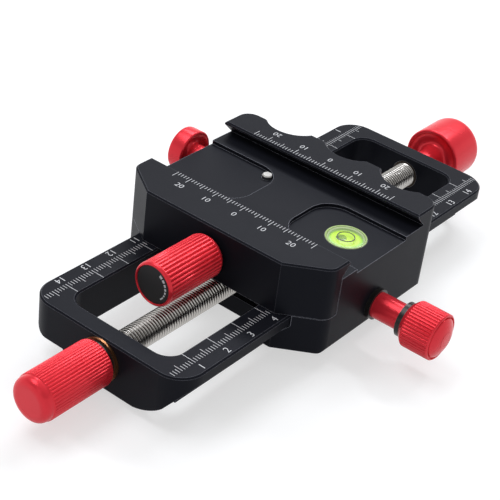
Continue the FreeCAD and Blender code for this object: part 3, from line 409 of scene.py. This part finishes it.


# Each finish's third colour is the painted highlight that its edges turn to, where its edge gain is above 0.
BLACK_ANODISED = metal_finish(
    "black_anodised", (0.0062, 0.0066, 0.0095), (0.012, 0.013, 0.018), (0.38, 0.39, 0.45),
    roughness=0.41, metallic=0.0, grain=5200.0, bump=0.35, edge_highlight_gain=2.6, edge_highlight_radius=0.00030,
    spread=0.16, Specular_IOR_Level=0.07, Specular_Tint=(0.84, 0.87, 1.0, 1))
RED_ANODISED = metal_finish(
    "red_anodised", (0.78, 0.026, 0.040), (0.92, 0.040, 0.062), (0.80, 0.10, 0.12),
    roughness=0.27, metallic=0.32, grain=6400.0, bump=0.10, edge_highlight_gain=0.0, spread=0.16,
    Specular_IOR_Level=0.24)
STAINLESS = metal_finish(
    "stainless", (0.44, 0.43, 0.41), (0.58, 0.57, 0.55), (0.85, 0.84, 0.82),
    roughness=0.30, metallic=1.0, grain=7000.0, bump=0.08, edge_highlight_gain=0.0, spread=0.12)
BLACKENED_STEEL = metal_finish(
    "blackened_steel", (0.022, 0.020, 0.020), (0.045, 0.042, 0.040), (0.20, 0.19, 0.18),
    roughness=0.30, metallic=0.7, grain=5000.0, bump=0.2, edge_highlight_gain=1.4, spread=0.12)
BRASS = metal_finish(
    "brass", (0.30, 0.12, 0.05), (0.42, 0.19, 0.085), (0.62, 0.34, 0.18),
    roughness=0.38, metallic=1.0, grain=6000.0, bump=0.12, edge_highlight_gain=1.0, spread=0.14)
DARK_BRONZE = metal_finish(
    "dark_bronze", (0.030, 0.022, 0.016), (0.055, 0.040, 0.028), (0.12, 0.09, 0.06),
    roughness=0.45, metallic=0.6, grain=5000.0, bump=0.2, edge_highlight_gain=0.0, spread=0.2)
BLACK_PLASTIC = metal_finish(
    "black_plastic", (0.008, 0.008, 0.009), (0.014, 0.014, 0.015), (0.06, 0.06, 0.065),
    roughness=0.42, metallic=0.0, grain=3600.0, bump=0.3, edge_highlight_gain=1.0, spread=0.12)
WHITE_MARK = metal_finish(
    "white_mark", (0.60, 0.61, 0.64), (0.80, 0.81, 0.83), (0.80, 0.81, 0.83),
    roughness=0.62, metallic=0.0, grain=9000.0, bump=0.5, edge_highlight_gain=0.0, spread=0.5)


def thread_material():
    """Steel with painted shade in the thread's roots and a painted highlight on its crests, by distance from
    the axis.
    """
    material, nodes, links, shader = new_material("leadscrew_steel")
    low, high = node_box("leadscrew")
    axis_height = (low[2] + high[2]) / 2 * MM
    crest = (high[1] - low[1]) / 2 * MM
    place = nodes.new("ShaderNodeTexCoord")
    parts = nodes.new("ShaderNodeSeparateXYZ")
    links.new(place.outputs["Object"], parts.inputs["Vector"])
    drop = math_node(nodes, "SUBTRACT", second=axis_height)
    links.new(parts.outputs["Z"], drop.inputs[0])
    across = nodes.new("ShaderNodeCombineXYZ")
    links.new(parts.outputs["Y"], across.inputs["Y"])
    links.new(drop.outputs[0], across.inputs["Z"])
    length = nodes.new("ShaderNodeVectorMath")
    length.operation = "LENGTH"
    links.new(across.outputs["Vector"], length.inputs[0])
    share = nodes.new("ShaderNodeMapRange")
    share.inputs["From Min"].default_value = crest - THREAD_DEPTH * MM
    share.inputs["From Max"].default_value = crest
    links.new(length.outputs["Value"], share.inputs["Value"])
    ramp = nodes.new("ShaderNodeValToRGB")
    # Painted shade in the thread's roots, painted highlight on its crests.
    stops = ramp.color_ramp.elements
    stops[0].position = 0.15
    stops[0].color = (0.045, 0.042, 0.040, 1)
    stops[1].position = 0.66
    stops[1].color = (0.88, 0.85, 0.81, 1)
    links.new(share.outputs["Result"], ramp.inputs["Fac"])
    blasted = place_group(nodes, BLASTED, Grain_per_metre=3000.0, Spread=0.2)
    dust = nodes.new("ShaderNodeMix")
    dust.data_type = "RGBA"
    dust.blend_type = "MULTIPLY"
    dust.inputs["Factor"].default_value = 0.5
    links.new(ramp.outputs["Color"], dust.inputs["A"])
    links.new(blasted.outputs["Tint"], dust.inputs["B"])
    links.new(dust.outputs["Result"], shader.inputs["Base Color"])
    rough = math_node(nodes, "ADD", second=0.24)
    links.new(blasted.outputs["Polish"], rough.inputs[0])
    links.new(rough.outputs[0], shader.inputs["Roughness"])
    shader.inputs["Metallic"].default_value = 1.0
    return material


def distance_from_middle(nodes, links, node, shift):
    """How far a point lies from a CAD node's middle, as a share of the node's radius, seen from above.

    The shift, in shares of the radius along X and Y, moves the middle.
    """
    low, high = node_box(node)
    centre = (low + high) / 2 * MM
    radius = (high[0] - low[0]) / 2 * MM
    place = nodes.new("ShaderNodeTexCoord")
    moved = nodes.new("ShaderNodeVectorMath")
    moved.operation = "SUBTRACT"
    moved.inputs[1].default_value = (
        centre[0] + shift[0] * radius, centre[1] + shift[1] * radius, centre[2])
    links.new(place.outputs["Object"], moved.inputs[0])
    flat = nodes.new("ShaderNodeVectorMath")
    flat.operation = "MULTIPLY"
    flat.inputs[1].default_value = (1, 1, 0)
    links.new(moved.outputs["Vector"], flat.inputs[0])
    length = nodes.new("ShaderNodeVectorMath")
    length.operation = "LENGTH"
    links.new(flat.outputs["Vector"], length.inputs[0])
    share = math_node(nodes, "DIVIDE", second=radius)
    links.new(length.outputs["Value"], share.inputs[0])
    return share.outputs[0]


def level_fluid_material():
    """Yellow-green liquid with a painted glow of its own colour, which looks brightest in the middle,
    turning to deep green at its rim.
    """
    material, nodes, links, shader = new_material("level_fluid")
    share = distance_from_middle(nodes, links, "level_liquid", (0.08, 0.05))
    ramp = nodes.new("ShaderNodeValToRGB")
    stops = ramp.color_ramp.elements
    stops[0].position = 0.72
    stops[0].color = (0.54, 0.82, 0.045, 1)
    stops[1].position = 1.04
    stops[1].color = (0.10, 0.56, 0.07, 1)
    links.new(share, ramp.inputs["Fac"])
    links.new(ramp.outputs["Color"], shader.inputs["Base Color"])
    # Painted glow: the liquid emits its own colour, though it is no lamp.
    links.new(ramp.outputs["Color"], shader.inputs["Emission Color"])
    shader.inputs["Emission Strength"].default_value = 0.20
    shader.inputs["Roughness"].default_value = 0.30
    return material


def lens_material():
    """Thin clear plastic: nearly unseen in the middle, pale and denser towards the rim of the dome, a
    painted reflection of glancing light there.
    """
    material, nodes, links, shader = new_material("clear_lens")
    share = distance_from_middle(nodes, links, "level_lens", (-0.10, -0.07))
    cloud = place_group(nodes, BLASTED, Grain_per_metre=2600.0, Spread=0.1)
    # Painted reflection: the dome turns pale and denser towards its rim, where glancing light would reflect.
    rim = nodes.new("ShaderNodeMapRange")
    rim.interpolation_type = "SMOOTHSTEP"
    rim.inputs["From Min"].default_value = 0.84
    rim.inputs["From Max"].default_value = 0.98
    rim.inputs["To Min"].default_value = 0.05
    rim.inputs["To Max"].default_value = 0.62
    links.new(share, rim.inputs["Value"])
    cloudy = math_node(nodes, "ADD")
    links.new(rim.outputs["Result"], cloudy.inputs[0])
    links.new(cloud.outputs["Polish"], cloudy.inputs[1])
    links.new(cloudy.outputs[0], shader.inputs["Alpha"])
    tone = drifting_colour(nodes, links, cloud, (0.58, 0.68, 0.38), (0.66, 0.76, 0.46))
    links.new(tone, shader.inputs["Base Color"])
    shader.inputs["Roughness"].default_value = 0.2
    return material


def bubble_material():
    """The bubble: a thin dark green film, a little cloudy."""
    material, nodes, links, shader = new_material("bubble")
    cloud = place_group(nodes, BLASTED, Patch_per_metre=900.0, Spread=0.5)
    tone = drifting_colour(nodes, links, cloud, (0.16, 0.26, 0.13), (0.24, 0.34, 0.19))
    links.new(tone, shader.inputs["Base Color"])
    shader.inputs["Roughness"].default_value = 0.1
    links.new(cloud.outputs["Tint"], shader.inputs["Alpha"])
    return material


THREAD_STEEL = thread_material()
LEVEL_FLUID = level_fluid_material()
LEVEL_CUP = metal_finish(
    "level_cup_wall", (0.34, 0.48, 0.14), (0.46, 0.60, 0.24), (0.62, 0.74, 0.40),
    roughness=0.16, metallic=0.0, grain=2600.0, bump=0.05, edge_highlight_gain=1.0, spread=0.2)
CLEAR_LENS = lens_material()
BUBBLE = bubble_material()


def dress_nodes(material, *nodes):
    """Give every material slot of some CAD nodes one material."""
    for node in nodes:
        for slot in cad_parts[node].material_slots:
            slot.material = material


def knob_base(node, axis):
    """Where a knob's inner end lies on its axis, its length along the axis and its outer radius."""
    low, high = node_box(node)
    middle = (low + high) / 2
    along = int(np.argmax(np.abs(np.array(axis))))
    inner = low[along] if axis[along] > 0 else high[along]
    base = middle.copy()
    base[along] = inner
    across = (along + 1) % 3
    return base, high[along] - low[along], (high[across] - low[across]) / 2


def make_front_knob():
    """The front knob: straight ridges, then a smooth, slightly smaller band that rounds into a flat end."""
    base, length, radius = knob_base("front_knob", (-1, 0, 0))
    ridged = length - 3.0
    band = radius - 0.28
    outline = [
        (KNOB_BORE, 0.0, 0), (radius - 0.4, 0.0, 0.15), (radius, 0.4, 0.15), (radius, ridged, 0.08),
        (band, ridged + 0.24, 0.1), (band, length, 2.5), (band - 2.75, length, 0), (0.0, length, 0)]
    piece = turned_piece(
        "front_knob_grip", outline, base, (-1, 0, 0), RED_ANODISED, "drive_screw",
        ridges=(48, 0.26, 0.35, ridged + 0.02, 2.4))
    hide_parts("front_knob")


def make_rear_knob():
    """The rear knob: a smooth drum with a round rim, whose hollow inner side sweeps down to a red neck."""
    base, length, radius = knob_base("rear_knob", (1, 0, 0))
    low, high = node_box("rear_spacer")
    reach = base[0] - low[0]
    neck = (high[1] - low[1]) / 2
    bowl = high[0] - base[0]
    outline = [
        (neck - 0.7, -reach, 0), (neck, -reach, 0.1), (neck, bowl * 0.72, 4.2),
        (radius - 1.5, 1.1, 1.0), (radius - 1.0, 0.0, 0.55), (radius, 0.0, 0.7),
        (radius, length, 3.4), (radius * 0.45, length, 1.0), (0.0, length, 0)]
    piece = turned_piece("rear_knob_drum", outline, base, (1, 0, 0), RED_ANODISED, "drive_screw")
    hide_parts("rear_knob", "rear_spacer")


def make_clamp_knob():
    """The clamp knob: long and coarsely fluted, with a thin rim round its sunk dark cap."""
    base, length, radius = knob_base("clamp_knob", (-1, 0, 0))
    cap_seat = 5.75
    sunk = length - 0.75
    outline = [
        (KNOB_BORE, 0.0, 0), (radius - 0.5, 0.0, 0.2), (radius, 0.6, 0.5), (radius, length - 0.5, 0.35),
        (radius - 0.45, length, 0.25), (cap_seat, length, 0.1), (cap_seat - 0.15, sunk, 0.1), (0.0, sunk, 0)]
    piece = turned_piece(
        "clamp_knob_grip", outline, base, (-1, 0, 0), RED_ANODISED, "clamp_handle",
        ridges=(34, 0.5, 1.2, length - 1.3, 2.2))
    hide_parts("clamp_knob")
    make_turn_marks()


def make_turn_marks():
    """White marks on the clamp knob's cap: seven short strokes along an arc, each thinner than the last."""
    cap_low, cap_high = node_box("clamp_knob_cap")
    centre = (cap_low + cap_high) / 2
    face = cap_low[0]
    ring = 4.35
    arc_steps = 6
    points, faces = [], []
    starts = np.radians(np.array((-62, -44, -27, -11, 4, 18, 31)))
    spans = np.radians(np.array((13, 12, 11, 10, 9, 8, 17)))
    widths = np.array((0.85, 0.75, 0.68, 0.6, 0.52, 0.46, 0.4))
    for start, span, width in zip(starts, spans, widths):
        turn = np.linspace(start, start + span, arc_steps)
        for depth in (face + INLAY_SUNK, face - INLAY_PROUD):
            for radius in (ring - width / 2, ring + width / 2):
                y = centre[1] - radius * np.cos(turn)
                z = centre[2] - radius * np.sin(turn)
                points.append(np.stack([np.full(arc_steps, depth), y, z], axis=1))
    points = np.concatenate(points)
    for stroke in range(len(starts)):
        rows = (stroke * 4 + np.arange(4))[:, None] * arc_steps + np.arange(arc_steps)
        sunk_inner, sunk_outer, proud_inner, proud_outer = rows
        around = [sunk_inner, sunk_outer, proud_outer, proud_inner]
        for one, two in zip(around, around[1:] + around[:1]):
            faces.extend(zip(one[:-1], one[1:], two[1:], two[:-1]))
        for end in (0, -1):
            faces.append([row[end] for row in around])
    faces = [tuple(int(index) for index in corners) for corners in faces]
    marks = finish_mesh("clamp_cap_marks", points, faces, WHITE_MARK, "clamp_handle")


def make_lock_knob():
    """The lock knob: straight ridges, a bevel towards the cheek and a domed end with a thin groove."""
    base, length, radius = knob_base("lock_knob", (0, -1, 0))
    side = length - 2.0
    shoulder = side + 0.2
    groove = side - 0.35
    outline = [
        (KNOB_BORE, 0.0, 0), (radius - 1.6, 0.0, 0.2), (radius, 1.5, 0.4), (radius, side - 0.15, 0.12),
        (radius - 0.35, shoulder, 0.1), (radius - 0.6, shoulder, 0.06), (radius - 0.72, groove, 0.05),
        (radius - 0.98, groove, 0.05), (radius - 1.1, side + 0.3, 0.12),
        (radius * 0.55, length - 0.28, 2.4), (radius * 0.2, length, 1.2), (0.0, length, 0)]
    piece = turned_piece(
        "lock_knob_grip", outline, base, (0, -1, 0), RED_ANODISED, "lock_handle",
        ridges=(44, 0.30, 1.7, side - 0.3, 2.2))
    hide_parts("lock_knob")


def make_pull_knob():
    """The pull knob: a short smooth disc whose hollow inner side rises into a hub towards the carriage."""
    base, length, radius = knob_base("pull_knob", (0, 1, 0))
    rim = 1.4
    hub = 3.2
    outline = [
        (hub - 0.9, 0.0, 0), (hub, 0.0, 0.15), (hub, rim + 0.7, 0.7), (hub + 1.4, rim + 1.5, 0.7),
        (radius - 1.0, rim + 0.5, 0.5), (radius - 0.75, rim, 0.15), (radius - 0.3, rim, 0.15),
        (radius, rim + 0.3, 0.1), (radius, length, 1.2), (radius - 1.6, length, 0), (0.0, length, 0)]
    piece = turned_piece("pull_knob_disc", outline, base, (0, 1, 0), RED_ANODISED, "plunger")
    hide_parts("pull_knob")


def make_leadscrew():
    """The leadscrew with its thread: r = R - depth * (1 - ramp), and a plain journal at each end.

    The ramp rises from 0 at the root to 1 at the crest with |2f - 1|, where f is the fraction of
    x / pitch - a / 2 pi. Near the end walls the thread fades out over the run-out's length.
    """
    low, high = node_box("leadscrew")
    centre = (low + high) / 2
    radius = (high[1] - low[1]) / 2
    rail_low, rail_high = node_box("rail_frame")
    start = rail_low[0] + END_WALL
    end = rail_high[0] - END_WALL
    journal = 3.0
    rows_per_pitch = 9
    turn_steps = 40
    root = 0.12
    flank = 0.74
    run_out = 0.8
    heights = np.arange(start, end, THREAD_PITCH / rows_per_pitch)
    turn = np.linspace(0, 2 * math.pi, turn_steps, endpoint=False)
    phase = heights[:, None] / THREAD_PITCH - turn[None, :] / (2 * math.pi)
    fraction = phase - np.floor(phase)
    ramp = np.clip((np.abs(2 * fraction - 1) - root) / flank, 0, 1)
    fade = np.clip(np.minimum(heights - start, end - heights) / run_out, 0, 1)[:, None]
    threaded = radius - THREAD_DEPTH * (1 - ramp) * fade
    ends = np.array([(low[0], 0.0), (low[0], journal), (start, journal)])
    tail = np.array([(end, journal), (high[0], journal), (high[0], 0.0)])
    radii = np.concatenate([
        np.repeat(ends[:, 1:], len(turn), axis=1), threaded, np.repeat(tail[:, 1:], len(turn), axis=1)])
    x = np.concatenate([ends[:, 0], heights, tail[:, 0]])[:, None] + 0 * turn[None, :]
    y = centre[1] + radii * np.cos(turn)
    z = centre[2] + radii * np.sin(turn)
    points = np.stack([x, y, z], axis=-1)
    rows, columns = points.shape[:2]
    piece = finish_mesh(
        "leadscrew_thread", points.reshape(-1, 3), grid_faces(rows, columns, True), THREAD_STEEL,
        "drive_screw", RIDGED_SMOOTH_DEGREES)
    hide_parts("leadscrew")


def tick_reach(marks, at_tens, at_fives, elsewhere):
    """How far the tick at each millimetre reaches."""
    return np.where(marks % 10 == 0, at_tens, np.where(marks % 5 == 0, at_fives, elsewhere))


def make_rail_scale():
    """Millimetre ticks and centimetre numbers along both sides of the rail, running opposite ways."""
    low, high = node_box("rail_frame")
    level = high[2]
    ticks_start = 23.3
    tick_width = 0.15
    end_margin = 1.2
    number_line = 25.5
    digit_height = 2.3
    marks = np.arange(1, 150)
    reach = tick_reach(marks, 4.7, 2.8, 1.7)
    centres, sizes = [], []
    for side in (-1, 1):
        x = low[0] + marks if side < 0 else high[0] - marks
        y = side * (ticks_start - reach / 2)
        keep = (x > low[0] + end_margin) & (x < high[0] - end_margin)
        centres.append(np.stack([x, y], axis=1)[keep])
        sizes.append(np.stack([np.full(len(x), tick_width), reach], axis=1)[keep])
    ticks = flat_bars(
        "rail_scale_ticks", np.concatenate(centres), np.concatenate(sizes), level, WHITE_MARK, "rail")
    labels = []
    for value in range(1, 15):
        labels.append((str(value), low[0] + value * 10, -number_line, (1, 0)))
        labels.append((str(value), high[0] - value * 10, number_line, (-1, 0)))
    numbers = numbers_piece("rail_scale_numbers", labels, digit_height, level, WHITE_MARK, "rail")


def make_jaw_scales():
    """Millimetre ticks out from the middle along each jaw's lip, numbered every ten."""
    jaw_high = node_box("movable_jaw")[1]
    level = jaw_high[2]
    tick_width = 0.16
    longest_tick = 2.9
    digit_height = 2.05
    number_line = 5.35
    steps = np.arange(-25, 26)
    reach = tick_reach(steps, longest_tick, 2.3, 1.4)
    reach[[0, -1]] = longest_tick
    for name, edge, way, body in (
            ("front_jaw", jaw_high[0] - 0.5, -1, "clamp_jaw"),
            ("rear_jaw", FIXED_LIP_X + 0.55, 1, "carriage")):
        x = edge + way * reach / 2
        centres = np.stack([x, steps.astype(float)], axis=1)
        sizes = np.stack([reach, np.full(len(steps), tick_width)], axis=1)
        ticks = flat_bars(f"{name}_ticks", centres, sizes, level, WHITE_MARK, body)
        line = edge + way * number_line
        labels = [(str(abs(value)), line, float(value), (0, way)) for value in (-20, -10, 0, 10, 20)]
        numbers = numbers_piece(f"{name}_numbers", labels, digit_height, level, WHITE_MARK, body)


def make_level():
    """The bubble level: a pale cup, yellow-green liquid, a target ring, an off-centre bubble and a lens."""
    low, high = node_box("level_cup")
    centre = (low + high) / 2
    radius = (high[0] - low[0]) / 2
    top = high[2]
    base = np.array((centre[0], centre[1], low[2]))
    depth = top - low[2]
    cup = turned_piece("level_cup_wall", [
        (0.0, 0.0, 0), (radius, 0.0, 0.2), (radius, depth, 0.2), (radius - 0.55, depth, 0.05),
        (radius - 0.62, 0.6, 0.2), (0.0, 0.6, 0)], base, (0, 0, 1), LEVEL_CUP, "carriage")
    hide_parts("level_cup")
    inner = radius - 0.66
    fluid_top = node_box("level_liquid")[1][2] - low[2]
    fluid = turned_piece("level_fluid_body", [
        (0.0, 0.62, 0), (inner, 0.62, 0.2), (inner, fluid_top, 0.15), (0.0, fluid_top, 0)],
        base, (0, 0, 1), LEVEL_FLUID, "carriage")
    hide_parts("level_liquid")
    lens = turned_piece("level_lens_dome", [
        (0.0, fluid_top + 0.02, 0), (inner, fluid_top + 0.02, 0.05), (inner, depth - 0.12, 0.06),
        (inner * 0.72, depth - 0.02, 1.2), (0.0, depth, 0)], base, (0, 0, 1), CLEAR_LENS, "carriage")
    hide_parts("level_lens")
    ring_in = 2.36
    ring_out = 2.64
    ring_low = depth - 0.10
    ring_high = depth + 0.01
    target = turned_piece("level_target", [
        (ring_in, ring_low, 0), (ring_out, ring_low, 0), (ring_out, ring_high, 0),
        (ring_in, ring_high, 0), (ring_in, ring_low, 0)], base, (0, 0, 1), BLACK_PLASTIC, "carriage")
    bubble_base = base + np.array((*BUBBLE_SHIFT, fluid_top))
    bubble = turned_piece("level_bubble", [
        (0.0, -0.35, 0), (1.2, -0.2, 0.5), (1.6, 0.03, 0.15), (1.1, 0.12, 0.5), (0.0, 0.14, 0)],
        bubble_base, (0, 0, 1), BUBBLE, "carriage")


def set_camera():
    """The photograph's view, solved from the rail's own scales."""
    data = bpy.data.cameras.new("photo_view")
    data.lens = CAMERA_LENS
    data.sensor_width = 36.0
    data.clip_start = 0.01
    camera = bpy.data.objects.new("photo_view", data)
    camera.location = Vector(CAMERA_PLACE) * MM
    camera.rotation_euler = [math.radians(angle) for angle in CAMERA_TURN_DEGREES]
    bpy.context.scene.collection.objects.link(camera)
    bpy.context.scene.camera = camera


def background_rays(nodes, links):
    """1 for what the camera, metal and glass see, 0 for the light that falls on the object."""
    path = nodes.new("ShaderNodeLightPath")
    seen = math_node(nodes, "MAXIMUM")
    links.new(path.outputs["Is Camera Ray"], seen.inputs[0])
    links.new(path.outputs["Is Glossy Ray"], seen.inputs[1])
    through = math_node(nodes, "MAXIMUM")
    links.new(seen.outputs[0], through.inputs[0])
    links.new(path.outputs["Is Transmission Ray"], through.inputs[1])
    return through


def floor_material():
    """A pale floor that keeps the object's shadow and looks nearly white to the camera."""
    material, nodes, links, shader = new_material("pale_floor")
    shader.inputs["Base Color"].default_value = (0.48, 0.485, 0.49, 1)
    shader.inputs["Roughness"].default_value = 0.75
    shader.inputs["Specular IOR Level"].default_value = 0.1
    through = background_rays(nodes, links)
    glow = math_node(nodes, "MULTIPLY", second=0.58)
    links.new(through.outputs[0], glow.inputs[0])
    shader.inputs["Emission Color"].default_value = (1, 1, 1, 1)
    links.new(glow.outputs[0], shader.inputs["Emission Strength"])
    return material


def set_stage():
    """The floor that the rail stands on."""
    size = 6.0
    mesh = bpy.data.meshes.new("floor")
    mesh.from_pydata(
        [(-size, -size, 0), (size, -size, 0), (size, size, 0), (-size, size, 0)], [], [(0, 1, 2, 3)])
    mesh.materials.append(floor_material())
    floor = bpy.data.objects.new("floor", mesh)
    bpy.context.scene.collection.objects.link(floor)


def soft_box(name, place, width, height, power):
    """A rectangular soft light that faces the object: place and size in metres, power in watts."""
    data = bpy.data.lights.new(name, "AREA")
    data.shape = "RECTANGLE"
    data.size = width
    data.size_y = height
    data.energy = power
    data.color = (0.94, 0.96, 1.0)
    lamp = bpy.data.objects.new(name, data)
    lamp.location = place
    lamp.rotation_euler = (LAMP_AIM - Vector(place)).to_track_quat("-Z", "Y").to_euler()
    bpy.context.scene.collection.objects.link(lamp)


def set_light():
    """A pale room that is brighter overhead than at the horizon, and four soft boxes."""
    world = bpy.data.worlds.new("studio")
    bpy.context.scene.world = world
    world.use_nodes = True
    nodes, links = world.node_tree.nodes, world.node_tree.links
    back = nodes["Background"]
    back.inputs["Color"].default_value = (1, 1, 1, 1)
    place = nodes.new("ShaderNodeTexCoord")
    parts = nodes.new("ShaderNodeSeparateXYZ")
    links.new(place.outputs["Generated"], parts.inputs["Vector"])
    rise = nodes.new("ShaderNodeMapRange")
    rise.inputs["To Min"].default_value = 0.34
    rise.inputs["To Max"].default_value = 0.52
    links.new(parts.outputs["Z"], rise.inputs["Value"])
    low_band = nodes.new("ShaderNodeMapRange")
    low_band.interpolation_type = "SMOOTHSTEP"
    low_band.inputs["From Min"].default_value = 0.24
    low_band.inputs["From Max"].default_value = 0.50
    low_band.inputs["To Min"].default_value = 1.0
    low_band.inputs["To Max"].default_value = 0.0
    links.new(parts.outputs["Z"], low_band.inputs["Value"])
    seen = background_rays(nodes, links)
    white_share = math_node(nodes, "MULTIPLY")
    links.new(seen.outputs[0], white_share.inputs[0])
    links.new(low_band.outputs["Result"], white_share.inputs[1])
    shown = nodes.new("ShaderNodeMix")
    shown.inputs["B"].default_value = 1.0
    links.new(white_share.outputs[0], shown.inputs["Factor"])
    links.new(rise.outputs["Result"], shown.inputs["A"])
    links.new(shown.outputs["Result"], back.inputs["Strength"])
    soft_box("top_softbox", (-0.10, 0.30, 0.72), 0.50, 0.36, 2.2)
    soft_box("back_softbox", (0.58, 0.36, 0.72), 0.50, 0.26, 3.0)
    soft_box("strip_softbox", (0.66, -0.06, 0.72), 0.28, 0.09, 2.1)
    soft_box("front_softbox", (-0.75, -0.20, 0.60), 0.4, 0.3, 0.3)


set_camera()
set_stage()
set_light()
dress_nodes(BLACK_ANODISED, "rail_frame", "carriage_block", "movable_jaw")
dress_nodes(RED_ANODISED, "lock_neck", "plunger_sleeve")
dress_nodes(STAINLESS, "clamp_screw", "lock_screw", "left_jaw_pin", "right_jaw_pin", "plunger_shaft",
            "stop_pin", "tripod_bush")
dress_nodes(BLACKENED_STEEL, "front_collar", "clamp_washer", "lock_washer", "lock_ring",
            "nut_screw_1", "nut_screw_2", "nut_screw_3", "nut_screw_4")
dress_nodes(BRASS, "front_washer", "drive_nut", "lock_pad")
dress_nodes(DARK_BRONZE, "front_bush", "rear_bush")
dress_nodes(BLACK_PLASTIC, "clamp_knob_cap", "left_gib", "right_gib")
make_front_knob()
make_rear_knob()
make_clamp_knob()
make_lock_knob()
make_pull_knob()
make_leadscrew()
make_rail_scale()
make_jaw_scales()
make_level()

bpy.context.scene.view_settings.view_transform = "Standard"
